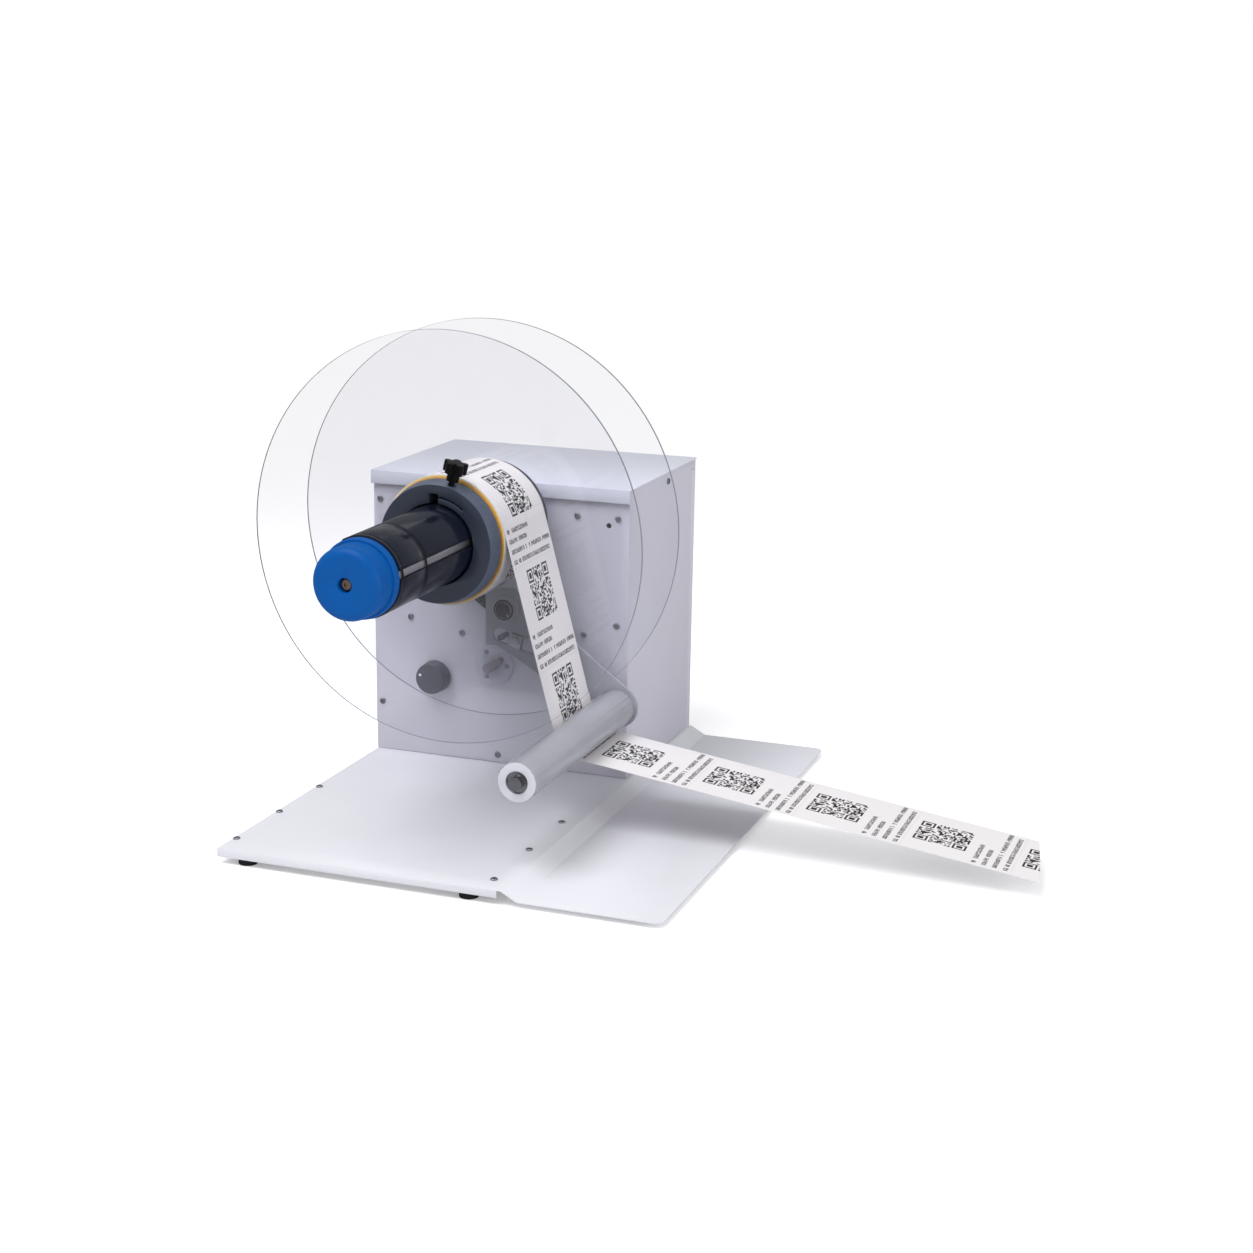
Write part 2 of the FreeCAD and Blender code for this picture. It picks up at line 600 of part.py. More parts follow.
def rounded(body, radius, wanted):
    """Round the edges of a body's last feature that a test picks."""
    doc.recompute()
    last = body.Tip
    names = ["Edge%d" % (i + 1) for i, edge in enumerate(last.Shape.Edges) if wanted(edge)]
    fillet = body.newObject("PartDesign::Fillet", body.Name + "Round%d" % len(body.Group))
    fillet.Base = (last, names)
    fillet.setExpression("Radius", expr(radius))
    return body


def bar(name, centre, angle, radii, width, y):
    """Straight bar that points out from a centre at an angle, between two radii."""
    half = "(%s) / 2" % width
    back = "-(%s) / 2" % width
    return slab(name, [polar(centre, radii[0], angle, back), polar(centre, radii[1], angle, back),
                       polar(centre, radii[1], angle, half), polar(centre, radii[0], angle, half)], y)


def hull(name, first, first_radius, second, second_radius, y):
    """Two rods and the flat slab that is tangent to both."""
    lean = "atan2((%s) - (%s); (%s) - (%s)) / 1deg" % (second[1], first[1], second[0], first[0])
    reach = "hypot((%s) - (%s); (%s) - (%s))" % (second[0], first[0], second[1], first[1])
    spread = "acos(((%s) - (%s)) / %s) / 1deg" % (first_radius, second_radius, reach)
    left = "%s + %s" % (lean, spread)
    right = "%s - %s" % (lean, spread)
    corners = [polar(first, first_radius, right), polar(second, second_radius, right),
               polar(second, second_radius, left), polar(first, first_radius, left)]
    return fuse(name, rod(name + "Near", first_radius, first, y),
                rod(name + "Far", second_radius, second, y), slab(name + "Between", corners, y))


def screw(name, centre, y, inward=1, head="screw_head_radius", height="screw_head_height",
          shank="screw_radius", length="screw_length"):
    """Screw along y with its head on a face at y, pointing to +y or to -y."""
    if inward > 0:
        head_ends = ("%s - %s" % (y, height), y)
        shank_ends = (y, "%s + %s" % (y, length))
    else:
        head_ends = (y, "%s + %s" % (y, height))
        shank_ends = ("%s - %s" % (y, length), y)
    return fuse(name, rod(name + "Head", head, centre, head_ends),
                rod(name + "Shank", shank, centre, shank_ends))


HOLE = "screw_radius + screw_clearance"


def base_screw_places():
    """Screws of the base plate: two rows of three."""
    rows = [("left_screw_x", "left_screw_y"),
            (RIGHT_RAIL + " - right_screw_inset", "right_screw_y")]
    return [(x, "%s - %d * base_screw_pitch" % (y, step)) for x, y in rows for step in range(3)]


def floor_screw_places():
    """Screws that hold the casing down from below."""
    sides = ["floor_screw_inset", "panel_width - floor_screw_inset"]
    ends = ["floor_screw_end", "cover_back_y - floor_screw_end"]
    return [(x, y) for x in sides for y in ends]


def make_base():
    """Base plate with its slope and web table, rails, feet and screws."""
    wing_top = "base_top_z - wing_drop"
    wing_under = wing_top + " - sheet_thickness"
    plate = slab("BasePlate", [
        (0, "base_top_z"), (0, BASE_UNDER), (BASE_FLAT, BASE_UNDER), (SLOPE_END, wing_under),
        (WING_END, wing_under), (WING_END, wing_top), (SLOPE_END, wing_top),
        (BASE_FLAT, "base_top_z")], ("base_front_y", "cover_back_y"))
    slope_end = SIZES["panel_width"] + SIZES["base_flat_margin"] + SIZES["slope_run"]
    end_x = slope_end + SIZES["wing_width"] - SIZES["sheet_thickness"]
    rounded(plate, "wing_corner_radius", lambda edge: edge.BoundBox.XMin > end_x
            and edge.BoundBox.YLength < SIZES["sheet_thickness"])
    lip = box("BaseLip", (0, BASE_FLAT + " - base_lip_clearance"),
              ("base_front_y", "base_front_y + sheet_thickness"),
              ("base_top_z - base_lip_depth", "base_top_z"))
    tab = box("PanelTab", ("tab_screw_x - panel_tab_width / 2", "tab_screw_x + panel_tab_width / 2"),
              ("panel_thickness", "panel_thickness + sheet_thickness"),
              (BASE_UNDER, "base_top_z + panel_tab_height"))
    holes = [rod_z("BaseHole%d" % i, HOLE, x, y, (BASE_UNDER, "base_top_z"))
             for i, (x, y) in enumerate(base_screw_places() + floor_screw_places())]
    holes.append(rod("TabHole", HOLE, ("tab_screw_x", "tab_screw_z"),
                     (0, "panel_thickness + 2 * sheet_thickness")))
    node(cut("BasePlateCut", fuse("BaseSheet", plate, lip, tab), *holes), "base_plate")

    ends = ("base_front_y + rail_end_inset", "cover_back_y - rail_end_inset")
    inner = "rail_side_inset + rail_top_width"
    far = RIGHT_RAIL + " - rail_top_width"
    left = fuse("LeftRailShape",
                box("LeftRailTop", ("rail_side_inset", inner), ends,
                    (BASE_UNDER + " - sheet_thickness", BASE_UNDER)),
                box("LeftRailWeb", (inner + " - sheet_thickness", inner), ends, (RAIL_BOTTOM, BASE_UNDER)),
                box("LeftRailFloor", (inner + " - sheet_thickness", inner + " + rail_floor_width"), ends,
                    (RAIL_BOTTOM, RAIL_BOTTOM + " + sheet_thickness")))
    right = fuse("RightRailShape",
                 box("RightRailTop", (far, RIGHT_RAIL), ends,
                     (BASE_UNDER + " - sheet_thickness", BASE_UNDER)),
                 box("RightRailWeb", (far, far + " + sheet_thickness"), ends, (RAIL_BOTTOM, BASE_UNDER)),
                 box("RightRailFloor", (far + " - rail_floor_width", far + " + sheet_thickness"), ends,
                     (RAIL_BOTTOM, RAIL_BOTTOM + " + sheet_thickness")))
    under = BASE_UNDER + " - sheet_thickness"
    places = base_screw_places()
    left_holes = [rod_z("LeftRailHole%d" % i, HOLE, x, y, (under, BASE_UNDER)) for i,
                  (x, y) in enumerate(places[:3])]
    right_holes = [rod_z("RightRailHole%d" % i, HOLE, x, y, (under, BASE_UNDER)) for i,
                   (x, y) in enumerate(places[3:])]
    node(cut("LeftRail", left, *left_holes), "base_rail_left")
    node(cut("RightRail", right, *right_holes), "base_rail_right")

    feet = [rod_z("Foot%d%d" % (i, j), "foot_radius", x, y, (0, "foot_height"))
            for i, x in enumerate((LEFT_FOOT_X, RIGHT_FOOT_X))
            for j, y in enumerate(("base_front_y + foot_end_inset",
                                   "cover_back_y - foot_end_inset - foot_radius"))]
    node(fuse("Feet", *feet), "rubber_feet")

    screws = []
    for i, (x, y) in enumerate(places):
        screws.append(rod_z("BaseScrewHead%d" % i, "screw_head_radius", x, y,
                            ("base_top_z", "base_top_z + screw_head_height")))
        screws.append(rod_z("BaseScrewShank%d" % i, "screw_radius", x, y,
                            (under + " - sheet_thickness", "base_top_z")))
    floor_top = CASE_BOTTOM + " + sheet_thickness"
    for i, (x, y) in enumerate(floor_screw_places()):
        screws.append(rod_z("FloorScrewHead%d" % i, "screw_head_radius", x, y,
                            (BASE_UNDER + " - screw_head_height", BASE_UNDER)))
        screws.append(rod_z("FloorScrewShank%d" % i, "screw_radius", x, y,
                            (BASE_UNDER, floor_top + " + sheet_thickness")))
    node(fuse("BaseScrews", *screws), "base_screws")


def make_front_panel():
    """Front panel with the holes of everything that it carries."""
    plate = box("PanelPlate", (0, "panel_width"), (0, "panel_thickness"), (CASE_BOTTOM, CASE_TOP))
    through = (0, "panel_thickness")
    holes = [rod("PanelHole%d" % i, HOLE, place_of, through) for i, place_of in enumerate(PANEL_SCREWS)]
    holes += [
        rod("SpareHole", "spare_hole_radius", ("panel_width - spare_hole_inset", "spare_hole_z"), through),
        rod("SpindleHole", "shaft_hole_radius", SPINDLE, through),
        rod("PivotHole", "pivot_shaft_radius + pivot_cap_height", PIVOT, through),
        rod("SpeedHole", "control_bush_radius + assembly_clearance", ("speed_x", "speed_z"), through),
        rod("SelectorHole", "control_bush_radius + assembly_clearance", ("selector_x", "selector_z"),
            through),
    ]
    holes += [rod("SelectorScrewHole%d" % i, "selector_screw_radius + screw_clearance", spot, through)
              for i, spot in enumerate(selector_screw_places())]
    node(cut("FrontPanel", plate, *holes), "front_panel")


def side_panel(name, web_x, wide, rear, floor):
    """Side panel: web, front flange, floor flange, joggled rear edge with its flange."""
    y = ("panel_thickness", SEAM_Y + " - panel_gap")
    web = box(name + "Web", web_x, y, (CASE_BOTTOM, CASE_TOP))
    upper = box(name + "Upper", web_x, ("panel_thickness", REAR_SHEET_Y + " - panel_gap"),
                (SEAM_Z + " + panel_gap", CASE_TOP))
    front = box(name + "Front", wide, ("panel_thickness", "panel_thickness + sheet_thickness"),
                (CASE_BOTTOM, CASE_TOP))
    base = box(name + "Floor", floor, y, (CASE_BOTTOM, CASE_BOTTOM + " + sheet_thickness"))
    joggle = box(name + "Joggle", rear[0], (SEAM_Y + " - seam_depth", REAR_SHEET_Y + " - panel_gap"),
                 (CASE_BOTTOM, CASE_TOP))
    back = box(name + "Back", rear[1], (REAR_SHEET_Y + " - sheet_thickness - panel_gap", REAR_SHEET_Y
                                        + " - panel_gap"),
               (CASE_BOTTOM, CASE_TOP))
    return fuse(name + "Sheet", web, upper, front, base, joggle, back)


def rear_screw_places():
    """Screws of the rear cover: two on each side."""
    sides = ["side_flange_width / 2 + sheet_thickness",
             "panel_width - side_flange_width / 2 - sheet_thickness"]
    heights = [CASE_BOTTOM + " + rear_screw_drop", CASE_TOP + " - rear_screw_drop"]
    return [(x, z) for x in sides for z in heights]


def make_sides():
    """Left and right side panels."""
    step = "2 * sheet_thickness + panel_gap"
    left = side_panel("LeftSide", (0, "sheet_thickness"), (0, "side_flange_width"),
                      [("sheet_thickness", step), ("sheet_thickness", "side_flange_width")],
                      (0, "side_floor_width"))
    right = side_panel("RightSide", (RIGHT_INSIDE, "panel_width"),
                       ("panel_width - side_flange_width", "panel_width"),
                       [("panel_width - (%s)" % step, RIGHT_INSIDE),
                        ("panel_width - side_flange_width", RIGHT_INSIDE)],
                       ("panel_width - side_floor_width", "panel_width"))
    cover_screw = ("cover_screw_y", "cover_top_z - cover_screw_drop")
    for name, label, shape, column, x in (
            ("LeftPanel", "left_side_panel", left, "left_column_x", (0, step)),
            ("RightPanel", "right_side_panel", right, RIGHT_COLUMN,
             ("panel_width - (%s)" % step, "panel_width"))):
        front = [rod("%sFrontHole%d" % (name, i), HOLE, spot,
                     ("panel_thickness", "panel_thickness + sheet_thickness"))
                 for i, spot in enumerate(PANEL_SCREWS) if spot[0] == column]
        floor = [rod_z("%sFloorHole%d" % (name, i), HOLE, spot[0], spot[1],
                       (CASE_BOTTOM, CASE_BOTTOM + " + sheet_thickness"))
                 for i, spot in enumerate(floor_screw_places())]
        rear = [rod("%sRearHole%d" % (name, i), HOLE, spot,
                    (REAR_SHEET_Y + " - 3 * sheet_thickness", REAR_SHEET_Y))
                for i, spot in enumerate(rear_screw_places())]
        side = rod_x(name + "CoverHole", HOLE, x, cover_screw[0], cover_screw[1])
        node(cut(name, shape, *(front + floor + rear + [side])), label)


def make_top_cover():
    """Cover with its front lip and the inner flanges that its side screws hold."""
    plate = box("CoverPlate", ("-cover_side_overhang", "panel_width + cover_side_overhang"),
                ("-cover_front_overhang", "cover_back_y"), ("cover_top_z - sheet_thickness", "cover_top_z"))
    lip = box("CoverLip", ("-cover_side_overhang", "panel_width + cover_side_overhang"),
              ("-cover_front_overhang", "sheet_thickness - cover_front_overhang"),
              ("cover_top_z - cover_lip_height", "cover_top_z"))
    y = ("cover_flange_inset", SEAM_Y + " - cover_flange_inset")
    z = ("cover_top_z - cover_flange_height", "cover_top_z")
    near = "sheet_thickness + panel_gap"
    left = box("CoverLeft", (near, near + " + sheet_thickness"), y, z)
    right = box("CoverRight", ("panel_width - (%s) - sheet_thickness" % near, "panel_width - (%s)" % near),
                y, z)
    holes = [rod_x("CoverHoleLeft", HOLE, (0, "4 * sheet_thickness"), "cover_screw_y",
                   "cover_top_z - cover_screw_drop"),
             rod_x("CoverHoleRight", HOLE, ("panel_width - 4 * sheet_thickness", "panel_width"),
                   "cover_screw_y",
                   "cover_top_z - cover_screw_drop")]
    node(cut("TopCover", fuse("CoverSheet", plate, lip, left, right), *holes), "top_cover")


def make_rear_cover():
    """Rear cover with side flanges, vent slots and the inlet's opening."""
    plate = box("RearPlate", (0, "panel_width"), (REAR_SHEET_Y, "cover_back_y"), (CASE_BOTTOM, CASE_TOP))
    z = (CASE_BOTTOM, SEAM_Z)
    left = box("RearLeft", (0, "sheet_thickness"), (SEAM_Y, "cover_back_y"), z)
    right = box("RearRight", (RIGHT_INSIDE, "panel_width"), (SEAM_Y, "cover_back_y"), z)
    through = (REAR_SHEET_Y, "cover_back_y")
    holes = [block("InletOpening", ("inlet_x", "inlet_z"), "inlet_body_width + 2 * assembly_clearance",
                   "inlet_body_height + 2 * assembly_clearance", through)]
    holes += [block("Vent%d" % i, ("vent_x + %d * vent_pitch" % i, "vent_z"), "vent_width", "vent_height",
                    through)
              for i in range(13)]
    holes += [rod("RearHole%d" % i, HOLE, spot, through) for i, spot in enumerate(rear_screw_places())]
    node(cut("RearCover", fuse("RearSheet", plate, left, right), *holes), "rear_cover")


def make_casing_screws():
    """Screws of the front panel, the cover and the rear cover."""
    node(fuse("PanelScrews", *[screw("PanelScrew%d" % i, spot, 0) for i, spot in enumerate(PANEL_SCREWS)]),
         "panel_screws")
    z = "cover_top_z - cover_screw_drop"
    sides = [
        fuse("LeftCoverScrew", rod_x("LeftCoverHead", "screw_head_radius", ("-screw_head_height", 0),
                                     "cover_screw_y", z),
             rod_x("LeftCoverShank", "screw_radius", (0, "screw_length"), "cover_screw_y", z)),
        fuse("RightCoverScrew",
             rod_x("RightCoverHead", "screw_head_radius", ("panel_width", "panel_width + screw_head_height"),
                   "cover_screw_y", z),
             rod_x("RightCoverShank", "screw_radius", ("panel_width - screw_length", "panel_width"),
                   "cover_screw_y", z)),
    ]
    rear = [screw("RearScrew%d" % i, spot, "cover_back_y", -1) for i, spot in enumerate(rear_screw_places())]
    node(fuse("CoverScrews", *(sides + rear)), "cover_screws")


def make_spindle_bearings():
    """Housing behind the panel and its two sealed bearings."""
    flange_back = "panel_thickness + housing_flange_thickness"
    first_back = BEARING_FRONT + " + bearing_width"
    node(turned("SpindleHousing", [
        ("bearing_lip_radius", "panel_thickness"), ("housing_flange_radius", "panel_thickness"),
        ("housing_flange_radius", flange_back), ("housing_barrel_radius", flange_back),
        ("housing_barrel_radius", HOUSING_BACK), ("bearing_radius", HOUSING_BACK),
        ("bearing_radius", SECOND_BEARING), ("bearing_lip_radius", SECOND_BEARING),
        ("bearing_lip_radius", first_back), ("bearing_radius", first_back),
        ("bearing_radius", BEARING_FRONT), ("bearing_lip_radius", BEARING_FRONT)], SPINDLE),
         "spindle_housing")
    bore = "shaft_radius + running_clearance"
    rings = [ring("SpindleBearing%d" % i, bore, "bearing_radius", SPINDLE, (y, y + " + bearing_width"))
             for i, y in enumerate((BEARING_FRONT, SECOND_BEARING))]
    node(fuse("SpindleBearings", *rings), "spindle_bearings")


def make_spindle():
    """Shaft and its pulley."""
    node(cut("SpindleShaft", turned("ShaftBlank", [
        (0, KNOB_FLOOR), ("journal_radius", KNOB_FLOOR), ("journal_radius", "mandrel_front_y"),
        ("shaft_radius", "mandrel_front_y"), ("shaft_radius", REAR_HUB_BACK),
        ("shaft_shoulder_radius", REAR_HUB_BACK), ("shaft_shoulder_radius", BEARING_FRONT + " - panel_gap"),
        ("shaft_radius", BEARING_FRONT + " - panel_gap"), ("shaft_radius", "shaft_end_y"),
                                                   (0, "shaft_end_y")], SPINDLE),
        rod("ShaftThread", "screw_radius + running_clearance", SPINDLE,
            (KNOB_FLOOR, KNOB_FLOOR + " + knob_screw_depth"))), "spindle_shaft")
    rim = "spindle_pulley_radius + pulley_rim_height"
    back = "pulley_y + belt_width"
    bore = "shaft_radius"
    hub_front = SECOND_BEARING + " + bearing_width + panel_gap"
    node(turned("SpindlePulley", [
        (bore, hub_front), ("pulley_hub_radius", hub_front), ("pulley_hub_radius", "pulley_y - pulley_rim"),
        (rim, "pulley_y - pulley_rim"), (rim, "pulley_y"), ("spindle_pulley_radius", "pulley_y"),
        ("spindle_pulley_radius", back), (rim, back), (rim, back + " + pulley_rim"),
        (bore, back + " + pulley_rim")], SPINDLE), "spindle_pulley")


def make_drive():
    """Motor on its bracket, its pulley and the belt."""
    mount_y = ("gearbox_front_y - bracket_thickness", "gearbox_front_y")
    left = "bracket_left_x"
    flange = box("BracketFlange", (left, "bracket_right_x"),
                 ("panel_thickness", "panel_thickness + bracket_thickness"),
                 ("bracket_flange_z", "bracket_top_z"))
    side = box("BracketSide", (left, left + " + bracket_thickness"), ("panel_thickness", "gearbox_front_y"),
               ("bracket_bottom_z", "bracket_top_z"))
    mount = box("BracketMount", (left, left + " + bracket_plate_width"), mount_y,
                ("bracket_bottom_z", "bracket_top_z"))
    holes = [rod("MotorOpening", "motor_boss_radius + assembly_clearance", MOTOR, mount_y)]
    holes += [rod("BracketHole%d" % i, HOLE, spot, ("panel_thickness", "panel_thickness + bracket_thickness"))
              for i, spot in enumerate(PANEL_SCREWS) if spot[0].startswith("motor")]
    node(cut("MotorBracket", fuse("BracketSheet", flange, side, mount), *holes), "motor_bracket")

    back = "gearbox_front_y + gearbox_length"
    body = fuse("MotorBody", block("Gearbox", MOTOR, "gearbox_size", "gearbox_size",
                                   ("gearbox_front_y", back)),
                rod("GearboxBoss", "motor_boss_radius", MOTOR,
                    ("gearbox_front_y - bracket_thickness", "gearbox_front_y")),
                rod("MotorCan", "motor_can_radius", MOTOR, (back, back + " + motor_can_length")))
    seat = "gearbox_front_y + motor_shaft_seat"
    node(cut("Gearmotor", body, rod("MotorBore", "motor_shaft_radius + running_clearance", MOTOR,
                                    ("gearbox_front_y - bracket_thickness", seat + " + panel_gap"))),
         "gearmotor")
    rim = "motor_pulley_radius + pulley_rim_height"
    end = "pulley_y + belt_width"
    node(turned("MotorPulley", [
        (0, "pulley_y - pulley_rim"), (rim, "pulley_y - pulley_rim"), (rim, "pulley_y"),
        ("motor_pulley_radius", "pulley_y"), ("motor_pulley_radius", end), (rim, end),
                                (rim, end + " + pulley_rim"),
        ("motor_shaft_radius", end + " + pulley_rim"), ("motor_shaft_radius", seat), (0, seat)], MOTOR),
         "motor_pulley")

    run = ("pulley_y + panel_gap", "pulley_y + belt_width - panel_gap")
    inner = hull("BeltInside", SPINDLE, "spindle_pulley_radius + belt_gap", MOTOR,
                 "motor_pulley_radius + belt_gap", run)
    outer = hull("BeltOutside", SPINDLE, "spindle_pulley_radius + belt_gap + belt_thickness", MOTOR,
                 "motor_pulley_radius + belt_gap + belt_thickness", run)
    node(cut("DriveBelt", outer, inner), "drive_belt")


def make_electronics():
    """Circuit board on its bracket, power supply, mains inlet and its rocker."""
    x = (BOARD_PLATE + " - sheet_thickness", BOARD_PLATE)
    z = ("board_bracket_bottom_z", "board_bracket_top_z")
    front = ("panel_thickness", "panel_thickness + sheet_thickness")
    flange_x = (BOARD_PLATE + " - board_flange_width", BOARD_PLATE)
    bracket = fuse("BoardBracketSheet", box("BoardFlange", flange_x, front, z),
                   box("BoardPlate", x, ("panel_thickness", "panel_thickness + board_bracket_depth"), z))
    holes = [rod("BoardHole%d" % i, HOLE, spot, front) for i, spot in enumerate(PANEL_SCREWS)
             if spot[0].startswith(BOARD_PLATE)]
    node(cut("BoardBracket", bracket, *holes), "electronics_bracket")

    plate_x = BOARD_PLATE + " - sheet_thickness"
    face_x = plate_x + " - board_standoff"
    near = "panel_thickness + 2 * board_margin"
    far = "panel_thickness + board_bracket_depth - board_margin"
    low = "board_bracket_bottom_z + board_margin"
    high = "board_bracket_top_z - board_margin"
    board = box("Board", (face_x + " - board_thickness", face_x), (near, far), (low, high))
    parts = [board]
    for i, (y, z_mid) in enumerate([(near, low), (near, high), (far, low), (far, high)]):
        inset_y = "%s %s screw_head_radius * 1.5" % (y, "+" if y == near else "-")
        inset_z = "%s %s screw_head_radius * 1.5" % (z_mid, "+" if z_mid == low else "-")
        parts.append(rod_x("Standoff%d" % i, "screw_head_radius", (face_x, plate_x), inset_y, inset_z))
    top_x = face_x + " - board_thickness"
    middle = "(board_bracket_bottom_z + board_bracket_top_z) / 2"
    parts.append(box("BoardTerminal", (top_x + " - board_part_height", top_x),
                     (near + " + board_margin", far + " - board_margin"), (low, low + " + board_margin")))
    parts.append(box("BoardHeatSink", (top_x + " - board_part_height", top_x),
                     (near + " + board_margin", near + " + 3 * board_margin"),
                     (middle, middle + " + 3 * board_margin")))
    parts.append(box("BoardChip", (top_x + " - board_thickness", top_x),
                     (near + " + 5 * board_margin", near + " + 6 * board_margin"),
                     (middle, middle + " + board_margin")))
    node(fuse("ControlBoard", *parts), "control_board")

    supply_right = "panel_width - supply_inset"
    supply_x = (supply_right + " - supply_width", supply_right)
    supply_end = "supply_y + supply_length"
    notch = box("SupplyNotch", supply_x, (supply_end + " - supply_terminal_depth", supply_end),
                ("base_top_z + supply_height / 2", "base_top_z + supply_height"))
    shell = cut("SupplyCase", box("SupplyBlock", supply_x, ("supply_y", supply_end),
                                  ("base_top_z", "base_top_z + supply_height")), notch)
    terminal = box("SupplyTerminal", (supply_right + " - supply_width + supply_terminal_depth",
                                      supply_right + " - supply_terminal_depth"),
                   (supply_end + " - supply_terminal_depth", supply_end + " - supply_terminal_depth / 4"),
                   ("base_top_z + supply_height / 2",
                    "base_top_z + supply_height - supply_terminal_depth / 4"))
    node(fuse("PowerSupply", shell, terminal), "power_supply")
    make_inlet()


def make_inlet():
    """Mains inlet with three blades and a rocker beside it."""
    centre = ("inlet_x", "inlet_z")
    back = "cover_back_y"
    face = "cover_back_y + inlet_flange_thickness"
    flange = block("InletFlange", centre, "inlet_width", "inlet_height", (back, face))
    body = block("InletBody", centre, "inlet_body_width", "inlet_body_height",
                 ("cover_back_y - inlet_depth", back))
    socket_x = "inlet_x - socket_offset"
    socket = block("InletSocket", (socket_x, "inlet_z"), "socket_width", "socket_height",
                   (face + " - socket_depth", face))
    rocker_x = "inlet_x + rocker_offset"
    well = block("RockerWell", (rocker_x, "inlet_z"), "rocker_width + 2 * rocker_clearance",
                 "rocker_height + 2 * rocker_clearance",
                 (face + " - rocker_depth - 3 * rocker_clearance", face))
    pivot = (face + " - rocker_pin_depth", "inlet_z")
    pin_reach = "rocker_width / 2 + rocker_clearance + rocker_pin_bite"
    seat_reach = pin_reach + " + assembly_clearance"
    seat = rod_x("RockerSeat", "rocker_pin_radius + assembly_clearance",
                 ("%s - (%s)" % (rocker_x, seat_reach), "%s + %s" % (rocker_x, seat_reach)), *pivot)
    blades = [block("Blade%d" % i, (socket_x + " + %d * blade_pitch" % step,
                                    "inlet_z + %d * blade_drop" % rise),
                    "blade_thickness", "blade_width",
                    (face + " - socket_depth", face + " - socket_depth + blade_length"))
              for i, (step, rise) in enumerate([(-1, -1), (0, 1), (1, -1)])]
    node(fuse("PowerInlet", cut("InletShell", fuse("InletBlock", flange, body), socket, well, seat), *blades),
         "power_inlet")

    half = "rocker_height / 2"
    depth = face + " - rocker_depth"
    rocker = doc.addObject("PartDesign::Body", "Rocker")
    sketch = outline(rocker, "YZ_Plane", [
        (depth, "-blade_width"), (face, "-(%s)" % half), (face + " + rocker_rise", "-(%s)" % half),
        (face + " + rocker_rise / 3", 0), (face + " + rocker_rise / 3", half),
        (face + " - rocker_rise / 3", half),
        (depth, "blade_width")])
    sketch.setExpression("AttachmentOffset.Base.z", expr(rocker_x + " - rocker_width / 2"))
    pad = rocker.newObject("PartDesign::Pad", "RockerPad")
    pad.Profile = sketch
    pad.setExpression("Length", expr("rocker_width"))
    pin = rod_x("RockerPin", "rocker_pin_radius",
                ("%s - (%s)" % (rocker_x, pin_reach), "%s + %s" % (rocker_x, pin_reach)), *pivot)
    node(fuse("RockerShape", place(rocker, 0, 0, "inlet_z"), pin), "power_rocker")


